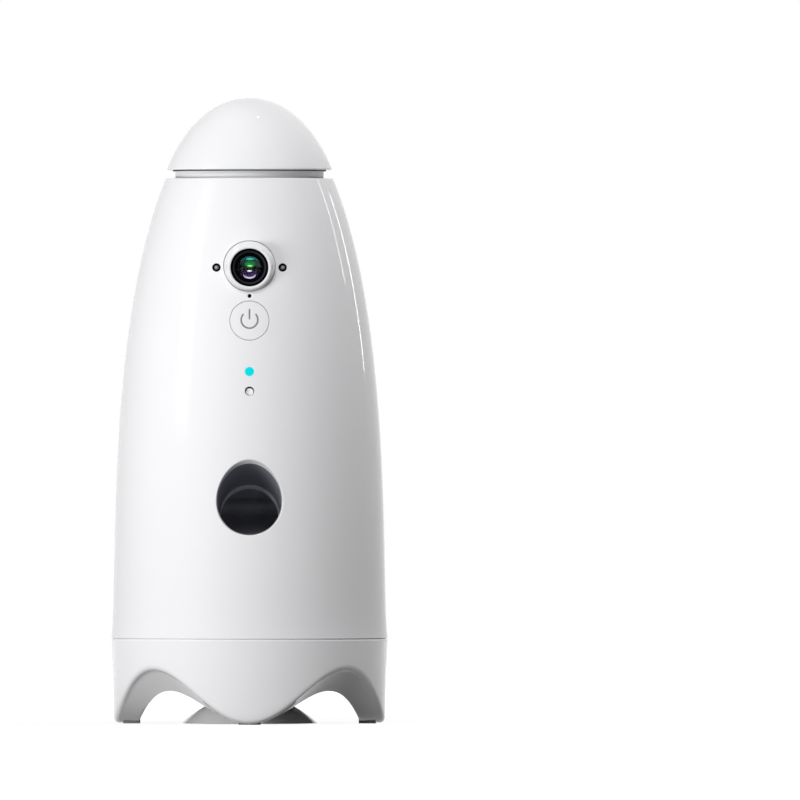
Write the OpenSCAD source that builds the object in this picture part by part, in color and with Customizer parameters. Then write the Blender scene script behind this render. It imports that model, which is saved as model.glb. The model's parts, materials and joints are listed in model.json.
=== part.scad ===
// Treat-tossing pet camera. A lift-off lid covers a hopper, a metering rotor drops one treat at a
// time into a paddle launcher, and a chute leads it out through the front of the tapered body.
// Origin: centre of the footprint, on the floor. +Z is up and the camera looks along -Y.

/* [Body] */
// Outer diameter where the body meets the base
body_d = 115; // [114:0.5:120]
// Height of the body shell above the base
body_h = 191; // [189:0.5:200]
// Outer diameter of the flat shoulder at the top of the body
shoulder_d = 69.6; // [69:0.2:76]
// How far the side leans in just above the base
side_lean = 2.8; // [1:0.1:5]
// Height over which the side stays nearly upright
side_rise = 23.2; // [18:0.2:30]
// How far the bulge stands out beyond the shoulder
bulge_out = 25.3; // [22:0.1:27]
// How far below the shoulder the bulge pulls
bulge_drop = 60.9; // [52:0.2:70]
// Wall of the body shell
body_wall = 2.5; // [1.8:0.1:2.8]

/* [Base] */
// Height of the base, up to the seam
base_h = 35.5; // [35:0.5:40]
// How much smaller the base is at its feet than at the seam, on the radius
base_taper = 1.3; // [0:0.1:2.5]
// Number of legs, each under a low point of the wave
leg_count = 4; // [4]
// Height of an arch between two legs on the outside
arch_h = 22; // [14:0.5:22.5]
// Height of an arch on the inside of the foot ring
arch_inner_h = 13.5; // [8:0.5:13.5]
// Radius of the edge round along the wave
arch_round = 2; // [1:0.1:2.5]
// Width of the foot ring, from its inner face to the outside of the base
foot_ring_w = 10.2; // [9:0.1:11.5]
// Wall of the base
base_wall = 2.5; // [2:0.1:2.8]
// Thickness of the bottom plate
plate_t = 2.5; // [2:0.1:3]

/* [Feet and suction cup] */
// Radial width of a rubber foot
foot_w = 7; // [5:0.5:8]
// Angle that a rubber foot spans
foot_span = 10; // [8:1:14]
// Height of a rubber foot
foot_h = 2.2; // [1.6:0.1:2.2]
// How far the rubber feet lift the legs off the floor
foot_proud = 0.3; // [0.2:0.1:0.8]
// Radius of the suction cup's lip
cup_r = 28.2; // [22:0.2:32]
// Height of the suction cup's dome
cup_h = 11.6; // [9:0.1:12]

/* [Lid] */
// Gap between the body's shoulder and the lid
neck_gap = 3.5; // [2.5:0.1:5]
// Diameter of the neck that shows in the gap
neck_d = 61.6; // [60:0.2:62]
// Diameter of the lid's rim
lid_d = 68.8; // [67.5:0.2:71]
// Height of the lid above its rim
lid_h = 30; // [27:0.5:36]
// Wall of the lid
lid_wall = 2.2; // [1.6:0.1:2.4]

/* [Hopper and rotor] */
// Wall of the hopper tube
hopper_wall = 2.2; // [1.6:0.1:2.4]
// Number of pockets in the metering rotor
pockets = 5; // [4:1:6]
// Height of the metering rotor
rotor_h = 20; // [14:1:24]
// Module of the gear teeth
gear_module = 1; // [1]
// Teeth of the ring gear round the rotor
ring_teeth = 54; // [54]
// Teeth of the pinion that drives it
pinion_teeth = 12; // [12:1:13]
// Radius of the pin that the rotor turns on
rotor_pin_r = 2.5; // [2:0.1:3]

/* [Launcher] */
// Height of the paddle shaft above the floor
launcher_z = 90; // [89:0.5:91]
// How far the paddle shaft lies behind the body's centre
launcher_back = 6; // [4:0.5:8]
// Inside radius of the launcher drum
drum_r = 22; // [20:0.5:22.5]
// Inside width of the launcher drum
drum_w = 26; // [24:0.5:28]
// Wall of the launcher housing
drum_wall = 2; // [1.5:0.1:2.5]
// Number of paddles
paddles = 3; // [2:1:5]
// Upward slope of the launch tunnel, in degrees
tunnel_slope = 10; // [6:1:12]
// Radius of the paddle shaft
shaft_r = 1.5; // [1.2:0.1:2]
// Width of the treat outlet
outlet_w = 27.4; // [24:0.2:30]
// Height of the treat outlet
outlet_h = 31.4; // [28:0.2:33]
// Height of the outlet's centre above the floor
outlet_z = 94.1; // [93:0.1:96]
// How much the outlet narrows towards its top
outlet_taper = 0.1; // [0:0.01:0.2]

/* [Front panel] */
// Height of the camera's axis
camera_z = 189.3; // [188:0.1:191]
// Radius of the camera's front barrel
lens_barrel_r = 7.7; // [7:0.1:8]
// How far the camera bezel stands out of the body
bezel_out = 4.6; // [3.5:0.1:6]
// Distance of each infrared light from the camera's axis
infrared_x = 13.7; // [13:0.1:15]
// Radius of an infrared light's ring
infrared_r = 1.65; // [1.4:0.05:1.9]
// Height of the microphone hole
mic_z = 177.5; // [176.5:0.1:178]
// Radius of the microphone hole
mic_r = 0.8; // [0.5:0.1:1]
// Height of the power button
power_z = 167.3; // [166:0.1:168]
// Radius of the power button
power_r = 8; // [6:0.1:8.5]
// Travel of the power button
power_travel = 0.5; // [0.3:0.1:0.8]
// Height of the status light
status_z = 146.2; // [145:0.1:150]
// Height of the reset button
reset_z = 138.1; // [136:0.1:139]
// Radius of the holes for the status light and the reset button
dot_r = 1.9; // [1.5:0.1:2.2]
// How deep the reset button's face lies below the surface
reset_depth = 1.3; // [0.8:0.1:1.8]
// Travel of the reset button
reset_travel = 0.4; // [0.3:0.1:0.8]

/* [Electronics] */
// Thickness of the circuit boards
board_t = 1.6; // [1:0.1:2]
// Distance of the front circuit board's face from the body's axis
front_board_y = 38.6; // [38:0.1:39.5]
// Height of the charging socket's centre
socket_z = 20.8; // [20.5:0.1:21.5]
// Width of the charging socket's mouth
socket_w = 8.94; // [8.94]
// Height of the charging socket's mouth
socket_h = 3.26; // [3.26]
// Radius of the speaker
speaker_r = 15; // [12:0.5:16]

/* [Fits] */
// Clearance round a push button
button_gap = 0.2; // [0.15:0.05:0.3]
// Radial clearance of a shaft that runs in a bore
running_gap = 0.05; // [0.02:0.01:0.08]
// Radial clearance of a pressed or glued part
press_gap = 0.02; // [0.01:0.01:0.05]
// Clearance between moulded parts that are assembled into each other
seat_gap = 0.3; // [0.2:0.05:0.4]

/* [Hidden] */
$fn = 64;
eps = 0.01;
curve_steps = 26;

// Heights and radii that follow from the driving sizes
body_r = body_d / 2;
body_top = base_h + body_h;
shoulder_r = shoulder_d / 2;
lid_rim = body_top + neck_gap;
lid_r = lid_d / 2;
neck_r = neck_d / 2;
neck_in_r = neck_r - hopper_wall - 0.2;
neck_top = lid_rim + 2.5;
lid_top = lid_rim + lid_h;
base_foot_r = body_r - base_taper;
foot_ring_r = base_foot_r - foot_ring_w;
base_r_in = body_r - base_wall;

// The side of the body and the lid's dome, each one cubic curve of [radius, height]
body_curve = [
    [body_r, base_h],
    [body_r - side_lean, base_h + side_rise],
    [shoulder_r + bulge_out, body_top - bulge_drop],
    [shoulder_r, body_top]
];
lid_curve = [
    [lid_r, lid_rim],
    [lid_r - 1.8, lid_rim + 5.6],
    [0.63 * lid_r, lid_top],
    [0, lid_top]
];

function bezier(p, t) =
    pow(1 - t, 3) * p[0] + 3 * pow(1 - t, 2) * t * p[1] + 3 * (1 - t) * t * t * p[2] + pow(t, 3) * p[3];
function bezier_slope(p, t) =
    pow(1 - t, 2) * (p[1] - p[0]) + 2 * (1 - t) * t * (p[2] - p[1]) + t * t * (p[3] - p[2]);
// The curve, moved inwards by depth along its own normal
function skin(p, depth = 0) = [
    for (i = [0:curve_steps])
        let (t = i / curve_steps, s = bezier_slope(p, t))
            bezier(p, t) + depth * [-s[1], s[0]] / norm(s)
];
function shell_r(z, depth = 0) = lookup(z, [for (p = skin(body_curve, depth)) [p[1], p[0]]]);
// Where the front of the shell lies at a place x, z of the front view
function shell_y(x, z, depth = 0) = -sqrt(pow(shell_r(z, depth), 2) - x * x);
function mix(a, b, s) = a + (b - a) * s;
function ease(s) = s * s * (3 - 2 * s);
function polar(r, a) = [r * cos(a), r * sin(a)];

// Everything inside the body's side, moved inwards by depth, from below the seam to the level top
module body_form(depth, top) {
    rotate_extrude($fn = 160)
        polygon(concat(
            [[0, base_h - 5], [body_r - depth, base_h - 5]],
            [for (p = skin(body_curve, depth)) [p[0], min(p[1], top)]],
            [[0, top]]
        ));
}
// The layer of the body's side between two depths
module body_layer(from_depth, to_depth) {
    difference() {
        body_form(from_depth, body_top);
        body_form(to_depth, body_top + 1);
    }
}
// Children drawn in X and Y are stood up to face the front, and their +Z points along -Y
module facing_front(x, y, z) {
    translate([x, y, z]) rotate([90, 0, 0]) children();
}
// Children drawn as [y, z] are extruded along X
module across(x, width) {
    translate([x, 0, 0]) rotate([90, 0, 90]) linear_extrude(width) children();
}
module ring(outer, inner, h) {
    difference() {
        cylinder(r = outer, h = h);
        translate([0, 0, -1]) cylinder(r = inner, h = h + 2);
    }
}
module at_angles(angles, r) {
    for (a = angles) rotate([0, 0, a]) translate([r, 0, 0]) children();
}

// Places on the front that follow the shell's curve
camera_y = shell_y(0, camera_z);
board_face = -front_board_y;
camera_board_y = -(front_board_y - board_t);
reset_y = shell_y(0, reset_z);

// Hopper, rotor and launcher, from the bottom up
deck_z = base_h + 0.5;
deck_t = 2.5;
deck_top = deck_z + deck_t;
drum_out_r = drum_r + drum_wall;
tray_z = launcher_z + drum_out_r + 7.6;
tray_t = 2;
ring_r = gear_module * ring_teeth / 2;
pinion_r = gear_module * pinion_teeth / 2;
gear_h = 3.5;
tray_in_r = ring_r + gear_module + 0.6;
tray_out_r = tray_in_r + 1.8;
tray_top = tray_z + tray_t + 4.8;
rotor_z = tray_z + tray_t + 0.2;
rotor_top = rotor_z + rotor_h;
blade_r = neck_in_r - 1;
pinion_x = -(ring_r + pinion_r);
drop_in_r = 9.5;
drop_out_r = 23;
drop_angle = 56;

// The shell of the body: a tall revolved wall with a flat roof round the neck
module body_shell() {
    color("white") difference() {
        union() {
            difference() {
                body_form(0, body_top);
                body_form(body_wall, body_top - body_wall);
                translate([0, 0, base_h - 10]) cylinder(r = body_r + 1, h = 10);
            }
            intersection() {
                body_form(body_wall / 2, body_top);
                union() {
                    for (p = board_screw_places)
                        facing_front(p[0], p[2], p[1]) cylinder(r = boss_r, h = body_r);
                    for (a = shell_screw_angles) shell_boss(a);
                }
            }
        }
        translate([0, 0, body_top - body_wall - 1]) cylinder(r = neck_r + seat_gap, h = body_wall + 2);
        facing_front(0, board_face, camera_z) cylinder(r = camera_hole_r, h = body_r);
        for (x = [-infrared_x, infrared_x])
            facing_front(x, board_face, camera_z) cylinder(r = infrared_r + press_gap, h = body_r);
        facing_front(0, board_face, mic_z) cylinder(r = mic_r, h = body_r);
        facing_front(0, board_face, power_z) cylinder(r = power_r + button_gap, h = body_r);
        for (z = [status_z, reset_z])
            facing_front(0, board_face, z) cylinder(r = dot_r, h = body_r);
        facing_front(0, board_face, 0) linear_extrude(body_r) polygon(outlet_outline(0));
        for (p = board_screw_places)
            facing_front(p[0], p[2], p[1]) cylinder(r = screw_r + press_gap, h = 5);
        for (a = shell_screw_angles) at_angles([a], shell_screw_place)
            translate([0, 0, deck_top - 1]) cylinder(r = case_screw_r + press_gap, h = 9);
    }
}
boss_r = 2.4;
screw_r = 0.9;
case_screw_r = 1.25;
shell_screw_angles = [10, 170, 235, 305];
shell_screw_place = body_r - 11;
shell_boss_h = 12;
// Where the two front boards are screwed down: x, z and the face of the board
board_screw_places = [
    for (x = [-9, 9], z = [134, 176.5]) [x, z, board_face],
    for (x = [-7, 7]) [x, camera_z + 11.8, camera_board_y]
];
module shell_boss(a) {
    rotate([0, 0, a]) {
        translate([shell_screw_place, 0, deck_top]) cylinder(r = 3.5, h = shell_boss_h);
        translate([shell_screw_place, -1, deck_top]) cube([body_r - shell_screw_place, 2, shell_boss_h]);
    }
}

// The outlet's outline, an egg that narrows upwards
function outlet_point(a, grow) = [
    (outlet_w / 2 + grow) * cos(a) * (1 - outlet_taper * sin(a)),
    outlet_z + (outlet_h / 2 + grow) * sin(a)
];
outline_sides = 40;
function outlet_outline(grow) = [for (i = [0:outline_sides - 1]) outlet_point(i * 360 / outline_sides, grow)];

// Hopper tube with a flange under the body's roof and a socket over the metering tray
hopper_flange_t = 3;
hopper_flange_r = shell_r(body_top, body_wall) - seat_gap;
socket_wall = 1.6;
module hopper() {
    color("gainsboro") {
        difference() {
            union() {
                translate([0, 0, tray_top]) cylinder(r = neck_r, h = neck_top - tray_top);
                translate([0, 0, body_top - body_wall - hopper_flange_t])
                    cylinder(r = hopper_flange_r, h = hopper_flange_t);
                difference() {
                    translate([0, 0, tray_top - 3.5])
                        cylinder(r = tray_out_r + 0.2 + socket_wall, h = 7);
                    translate([0, 0, tray_top - 4]) cylinder(r = tray_out_r + 0.2, h = 4);
                    translate([pinion_x, 0, tray_top - 4]) cylinder(r = pinion_r + 4.4, h = 12);
                }
            }
            translate([0, 0, tray_top - 5]) cylinder(r = neck_in_r, h = neck_top - tray_top + 6);
        }
    }
}

// Lid dome, open underneath, whose skirt slips over the neck
module lid() {
    color("white") difference() {
        rotate_extrude() polygon(concat([[0, lid_rim]], skin(lid_curve)));
        rotate_extrude() polygon(concat(
            [[0, lid_rim + 1]],
            [for (p = skin(lid_curve, lid_wall)) [max(p[0], 0), max(p[1], lid_rim + 1)]]
        ));
        translate([0, 0, lid_rim - 1]) cylinder(r = neck_r + seat_gap, h = 3.6);
    }
}
liner_t = 1.8;
liner_r = neck_in_r - 1;
plug_depth = 9.5;
plug_wall = 1.6;
module lid_liner() {
    color("whitesmoke") difference() {
        union() {
            translate([0, 0, neck_top]) cylinder(r = neck_r - 0.8, h = liner_t);
            translate([0, 0, neck_top - plug_depth]) cylinder(r = liner_r, h = plug_depth);
        }
        translate([0, 0, neck_top - plug_depth - 1])
            cylinder(r = liner_r - plug_wall, h = plug_depth + 1);
        translate([0, 0, seal_z]) ring(liner_r + 1, liner_r - 0.6, seal_h);
    }
}
seal_h = 3;
seal_z = neck_top - plug_depth + 3;
module lid_seal() {
    color("lightgray") translate([0, 0, seal_z]) rotate_extrude() polygon([
        [liner_r - 0.6, 0], [liner_r + 0.3, 0], [liner_r + 0.8, seal_h / 2],
        [liner_r + 0.3, seal_h], [liner_r - 0.6, seal_h]
    ]);
}

// Camera bezel: a cone that flares to the shell, with a rounded lip round the barrel
camera_hole_r = lens_barrel_r + 1.3;
bezel_lip_r = lens_barrel_r + 1.5;
bezel_flare = 0.28;
lip_round = 0.7;
module camera_bezel() {
    color("white") difference() {
        facing_front(0, camera_y, camera_z) rotate_extrude() polygon([
            [lens_barrel_r + 0.15, bezel_out - 0.3],
            [lens_barrel_r + 0.45, bezel_out],
            [bezel_lip_r - lip_round, bezel_out],
            [bezel_lip_r - 0.2, bezel_out - 0.25],
            [bezel_lip_r, bezel_out - lip_round],
            [bezel_lip_r + bezel_flare * (bezel_out + 5), -5],
            [lens_barrel_r + 0.15, -5]
        ]);
        difference() {
            body_form(-press_gap, body_top);
            facing_front(0, 0, camera_z) cylinder(r = camera_hole_r - press_gap, h = body_r + 5);
        }
    }
}
barrel_recess = 0.7;
barrel_flange = 8;
module camera_barrel() {
    front = bezel_out - barrel_recess;
    back = camera_y - camera_board_y;
    color([0.06, 0.06, 0.07]) facing_front(0, camera_y, camera_z) difference() {
        rotate_extrude() polygon([
            [0, back], [barrel_flange, back], [barrel_flange, back + 1.6], [lens_barrel_r - 0.4, back + 1.6],
            [lens_barrel_r, back + 2], [lens_barrel_r, front],
            [lens_barrel_r - 0.5, front], [lens_barrel_r - 1.6, front - 1],
            [lens_r + 0.3, front - 1], [lens_r + 0.3, front - 0.7], [lens_r + 0.05, front - 0.7],
            [lens_r + 0.05, front - 3.6], [lens_r - 0.7, front - 3.6],
            [aperture_r, front - 6], [0, front - 6]
        ]);
    }
}
lens_r = 4.8;
aperture_r = 1.6;
lens_bulge = 1.5;
module camera_lens() {
    ball_r = (lens_r * lens_r + lens_bulge * lens_bulge) / (2 * lens_bulge);
    color([0.1, 0.35, 0.32, 0.6]) facing_front(0, camera_y + 3.6 - bezel_out + barrel_recess, camera_z)
        intersection() {
            cylinder(r = lens_r, h = 4);
            translate([0, 0, 0.9 + lens_bulge - ball_r]) sphere(r = ball_r);
        }
}
module camera_board() {
    color("darkgreen") difference() {
        union() {
            translate([-10, camera_board_y, camera_z - 9]) cube([20, board_t, 23.5]);
            translate([-infrared_x - 2.8, camera_board_y, camera_z - 4.3])
                cube([2 * infrared_x + 5.6, board_t, 8.6]);
        }
        for (p = board_screw_places)
            facing_front(p[0], p[2] + board_t + 1, p[1]) cylinder(r = screw_r + 0.2, h = board_t + 2);
    }
    color("black") translate([-4, camera_board_y + board_t, camera_z - 4]) cube([8, 1, 8]);
}
module infrared_rings() {
    back = shell_y(infrared_x, camera_z, body_wall) + 1.5;
    color("black") for (x = [-infrared_x, infrared_x]) intersection() {
        facing_front(x, back, camera_z) ring(infrared_r, infrared_r - 0.6, body_wall + 6);
        body_form(0, body_top);
    }
}
module infrared_lights() {
    bulb_r = infrared_r - 0.62;
    tip = shell_y(infrared_x, camera_z) + 0.5;
    color([0.6, 0.58, 0.62, 0.8]) for (x = [-infrared_x, infrared_x]) {
        facing_front(x, camera_board_y, camera_z) cylinder(r = bulb_r, h = camera_board_y - tip - bulb_r / 2);
        translate([x, tip + bulb_r, camera_z]) sphere(r = bulb_r);
    }
}
mic_capsule_r = 1.5;
mic_boot_wall = 0.4;
mic_front = shell_y(0, mic_z + mic_capsule_r + mic_boot_wall, body_wall) + 0.2;
module microphone() {
    color("silver") facing_front(0, board_face, mic_z)
        cylinder(r = mic_capsule_r, h = board_face - mic_front - 1);
}
module microphone_boot() {
    color("dimgray") facing_front(0, board_face, mic_z) difference() {
        cylinder(r = mic_capsule_r + mic_boot_wall, h = board_face - mic_front);
        translate([0, 0, -1]) cylinder(r = mic_capsule_r + press_gap, h = board_face - mic_front);
        cylinder(r = mic_r, h = body_r);
    }
}
front_board_w = 24;
front_board_z = 129.5;
module front_board() {
    top = mic_z + mic_capsule_r + mic_boot_wall - 0.1;
    color("darkgreen") difference() {
        translate([-front_board_w / 2, board_face, front_board_z])
            cube([front_board_w, board_t, top - front_board_z]);
        for (p = board_screw_places)
            facing_front(p[0], p[2] + board_t + 1, p[1]) cylinder(r = screw_r + 0.2, h = board_t + 2);
    }
}

// A tactile switch on the front board, and the key that slides in it
switch_w = 6;
switch_h = 3.4;
key_r = 1.6;
key_out = 1;
module switch_body(z, travel) {
    color("black") difference() {
        translate([-switch_w / 2, board_face - switch_h, z - switch_w / 2])
            cube([switch_w, switch_h, switch_w]);
        facing_front(0, board_face - switch_h + travel + 0.9, z)
            cylinder(r = key_r + running_gap, h = switch_h);
    }
}
module switch_key(z) {
    color("dimgray") facing_front(0, board_face - switch_h + 0.8, z) cylinder(r = key_r, h = 0.8 + key_out);
}
key_face = board_face - switch_h - key_out;
module power_switch() { switch_body(power_z, power_travel); }
module power_key() { switch_key(power_z); }
module reset_switch() { switch_body(reset_z, reset_travel); }
module reset_key() { switch_key(reset_z); }

// Power button: a cap flush with the shell, a flange behind it and a stem to the switch
module power_button() {
    flange_t = 1.2;
    color("white") {
        intersection() {
            body_layer(0, body_wall + seat_gap + flange_t);
            facing_front(0, board_face, power_z) cylinder(r = power_r, h = body_r);
        }
        intersection() {
            body_layer(body_wall + seat_gap, body_wall + seat_gap + flange_t);
            facing_front(0, board_face, power_z) difference() {
                cylinder(r = power_r + 1.4, h = body_r);
                translate([-power_r, power_r, -1]) cube([2 * power_r, power_r, body_r + 2]);
            }
        }
        intersection() {
            facing_front(0, key_face, power_z) cylinder(r = 2.2, h = body_r);
            body_form(body_wall, body_top);
        }
    }
}
// Reset button: a rod whose face lies below the surface
module reset_button() {
    rod_r = dot_r - button_gap;
    flange_y = shell_y(0, reset_z + 2.8, body_wall) + seat_gap;
    color("white") {
        facing_front(0, key_face, reset_z) cylinder(r = rod_r, h = key_face - reset_y - reset_depth);
        facing_front(0, flange_y + 1.2, reset_z) cylinder(r = 2.8, h = 1.2);
    }
}
led_h = 1.9;
module status_led() {
    color("white") translate([-1.5, board_face - led_h, status_z - 1.5]) cube([3, led_h, 3]);
}
module status_light_pipe() {
    flange_y = shell_y(0, status_z + 2.8, body_wall) + 0.1;
    color([0.1, 0.9, 0.95]) {
        intersection() {
            facing_front(0, board_face - led_h - 0.1, status_z) cylinder(r = dot_r - press_gap, h = body_r);
            body_form(0, body_top);
        }
        facing_front(0, flange_y + 1.2, status_z) cylinder(r = 2.8, h = 1.2);
    }
}

// The launcher's side view, as [y, z]
drum_at = [launcher_back, launcher_z];
tunnel_front = -20;
tunnel_roof = launcher_z + 8.4;
// Height of the tunnel's floor: a line just inside the drum's tangent
function floor_z(y) =
    launcher_z - drum_r * cos(tunnel_slope) + 0.3
    + (launcher_back - drum_r * sin(tunnel_slope) - y) * tan(tunnel_slope);
inlet_y = [launcher_back + 3, launcher_back + 18];
module drum_inside() {
    translate(drum_at) circle(r = drum_r);
    polygon([
        [launcher_back, launcher_z], [launcher_back - 3, floor_z(launcher_back - 3)],
        [tunnel_front - 2, floor_z(tunnel_front - 2)], [tunnel_front - 2, tunnel_roof],
        [launcher_back, tunnel_roof]
    ]);
    translate([inlet_y[0], launcher_z + 8]) square([inlet_y[1] - inlet_y[0], tray_z - launcher_z]);
}
module drum_outside() {
    translate(drum_at) circle(r = drum_out_r);
    polygon([
        [launcher_back, launcher_z], [launcher_back - 3, floor_z(launcher_back - 3) - drum_wall],
        [tunnel_front, floor_z(tunnel_front) - drum_wall], [tunnel_front, tunnel_roof + drum_wall],
        [launcher_back, tunnel_roof + drum_wall]
    ]);
    translate([inlet_y[0] - drum_wall, launcher_z + 8])
        square([inlet_y[1] - inlet_y[0] + 2 * drum_wall, tray_z - launcher_z - 8]);
    for (a = cover_screw_angles) translate(drum_at + polar(cover_screw_place, a)) circle(r = 3.2);
    translate([tunnel_front + 8, launcher_z + 10]) square([3, tray_z - launcher_z - 10]);
}
cover_screw_angles = [128, 40, 300];
cover_screw_place = drum_out_r + 2.4;
leg_t = 2.4;
foot_l = 8.5;
launcher_legs = [launcher_back - 15, launcher_back + 16];
module launcher_stand() {
    for (y = launcher_legs) translate([y, deck_top]) square([leg_t, launcher_z - deck_top - 8]);
    translate([launcher_legs[0] - foot_l + leg_t, deck_top]) square([foot_l, leg_t]);
    translate([launcher_legs[1], deck_top]) square([foot_l, leg_t]);
}
launcher_screw_places = [
    for (x = [-8, 8], y = [launcher_legs[0] - 2.9, launcher_legs[1] + 5.3]) [x, y]
];
motor_boss_r = 4;
module launcher_housing() {
    color([0.09, 0.1, 0.12]) difference() {
        union() {
            across(-drum_w / 2, drum_w) difference() {
                union() {
                    drum_outside();
                    launcher_stand();
                }
                drum_inside();
            }
            across(drum_w / 2, drum_wall) drum_outside();
        }
        across(drum_w / 2 - 1, drum_wall + 2) translate(drum_at) circle(r = motor_boss_r + press_gap);
        for (a = cover_screw_angles)
            across(-drum_w / 2 - 1, 9) translate(drum_at + polar(cover_screw_place, a))
                circle(r = case_screw_r + press_gap);
        for (p = launcher_screw_places)
            translate([p[0], p[1], deck_top - 1]) cylinder(r = case_screw_r + seat_gap, h = leg_t + 2);
    }
}
bush_r = 3;
bush_boss_t = 1.2;
module launcher_cover() {
    color([0.09, 0.1, 0.12]) difference() {
        union() {
            across(-drum_w / 2 - drum_wall, drum_wall) drum_outside();
            across(-drum_w / 2 - drum_wall - bush_boss_t, bush_boss_t + 0.5)
                translate(drum_at) circle(r = bush_r + 2);
        }
        across(-drum_w / 2 - drum_wall - bush_boss_t - 1, drum_wall + bush_boss_t + 2)
            translate(drum_at) circle(r = bush_r + press_gap);
        for (a = cover_screw_angles)
            across(-drum_w / 2 - drum_wall - 1, drum_wall + 2)
                translate(drum_at + polar(cover_screw_place, a)) circle(r = case_screw_r + seat_gap);
    }
}
module paddle_bush() {
    color("goldenrod") across(-drum_w / 2 - drum_wall - bush_boss_t, drum_wall + bush_boss_t)
        translate(drum_at) difference() {
            circle(r = bush_r);
            circle(r = shaft_r + running_gap);
        }
}
shaft_in_motor = 4;
module paddle_shaft() {
    length = drum_w + 2 * drum_wall + bush_boss_t + shaft_in_motor;
    color("silver") across(-drum_w / 2 - drum_wall - bush_boss_t + seat_gap, length)
        translate(drum_at) circle(r = shaft_r);
}
// Paddle wheel: curved blades on a hub, each a slice of a large ring
paddle_r = drum_r - 0.6;
paddle_t = 2;
paddle_curve = 30;
module paddle_wheel() {
    color([0.2, 0.22, 0.26]) across(-drum_w / 2 + 0.5, drum_w - 1) translate(drum_at) difference() {
        union() {
            circle(r = 4.5);
            for (k = [0:paddles - 1]) rotate(k * 360 / paddles) intersection() {
                circle(r = paddle_r);
                translate([0, -paddle_curve]) difference() {
                    circle(r = paddle_curve + paddle_t / 2);
                    circle(r = paddle_curve - paddle_t / 2);
                }
                translate([0, -paddle_r]) square([paddle_r + 1, 2 * paddle_r]);
            }
        }
        circle(r = shaft_r + press_gap);
    }
}
motor_r = 12;
motor_l = 30;
module launch_motor() {
    x = drum_w / 2 + drum_wall;
    color("silver") difference() {
        union() {
            across(x, motor_l) translate(drum_at) circle(r = motor_r);
            across(x - drum_wall, drum_wall + 1) translate(drum_at) circle(r = motor_boss_r);
            across(x + motor_l - 1, 3.5) translate(drum_at) circle(r = motor_boss_r);
        }
        across(x - drum_wall - 1, drum_wall + 1 + shaft_in_motor + 2 * seat_gap)
            translate(drum_at) circle(r = shaft_r + running_gap);
    }
}

// Treat chute: a loft from the round throat of the launcher to the egg-shaped outlet
chute_wall = 1.6;
chute_flange = 4;
chute_flange_t = 1.8;
throat_z = (floor_z(tunnel_front) + tunnel_roof) / 2;
throat_r = min((tunnel_roof - floor_z(tunnel_front)) / 2, drum_w / 2) - 0.1;
chute_front = shell_y(0, outlet_z) + body_wall / 2;
// A point of the loft, where s runs from 0 at the throat to 1 at the outlet
function chute_point(s, a, grow) =
    let (near = [(throat_r + grow) * cos(a), throat_z + (throat_r + grow) * sin(a)],
         p = mix(near, outlet_point(a, grow), ease(min(max(s, 0), 1))))
            [p[0], mix(tunnel_front, chute_front, s), p[1]];
function tube_faces(n, m) = concat(
    [for (i = [0:m - 1], j = [0:n - 1])
        [i * n + j, (i + 1) * n + j, (i + 1) * n + (j + 1) % n, i * n + (j + 1) % n]],
    [[for (j = [0:n - 1]) j], [for (j = [n - 1:-1:0]) m * n + j]]
);
module chute_form(grow, overrun) {
    stations = [-overrun, 0.15, 0.3, 0.45, 0.6, 0.75, 0.9, 1 + overrun];
    polyhedron(
        [for (s = stations, j = [0:outline_sides - 1]) chute_point(s, j * 360 / outline_sides, grow)],
        tube_faces(outline_sides, len(stations) - 1)
    );
}
module outlet_chute() {
    color([0.12, 0.13, 0.15]) intersection() {
        difference() {
            union() {
                chute_form(chute_wall, 0);
                translate([-drum_w / 2 - drum_wall, tunnel_front - 1.5, floor_z(tunnel_front) - drum_wall])
                    cube([drum_w + 2 * drum_wall, 1.5, tunnel_roof - floor_z(tunnel_front) + 2 * drum_wall]);
                difference() {
                    facing_front(0, board_face, 0) linear_extrude(body_r)
                        polygon(outlet_outline(chute_flange));
                    body_form(body_wall + chute_flange_t, body_top);
                }
            }
            chute_form(0, 0.1);
        }
        body_form(body_wall + 0.05, body_top);
    }
}

// Spur gear outline with involute flanks and a little backlash
pressure = 20;
backlash = 0.08;
function involute(base, r) = let (t = sqrt(max(r * r / (base * base) - 1, 0))) t * 180 / PI - atan(t);
module gear_outline(teeth) {
    pitch = gear_module * teeth / 2;
    base = pitch * cos(pressure);
    tip = pitch + 0.9 * gear_module;
    root = pitch - 1.15 * gear_module;
    half = 90 / teeth - backlash / pitch * 180 / PI + involute(base, pitch);
    low = max(root, base);
    flank = [for (s = [0:0.34:1.02]) let (r = min(mix(low, tip, s), tip)) [r, half - involute(base, r)]];
    polygon([for (k = [0:teeth - 1]) let (mid = k * 360 / teeth) each concat(
        [polar(root, mid - flank[0][1])],
        [for (f = flank) polar(f[0], mid - f[1])],
        [for (i = [len(flank) - 1:-1:0]) polar(flank[i][0], mid + flank[i][1])],
        [polar(root, mid + flank[0][1])]
    )]);
}

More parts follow.
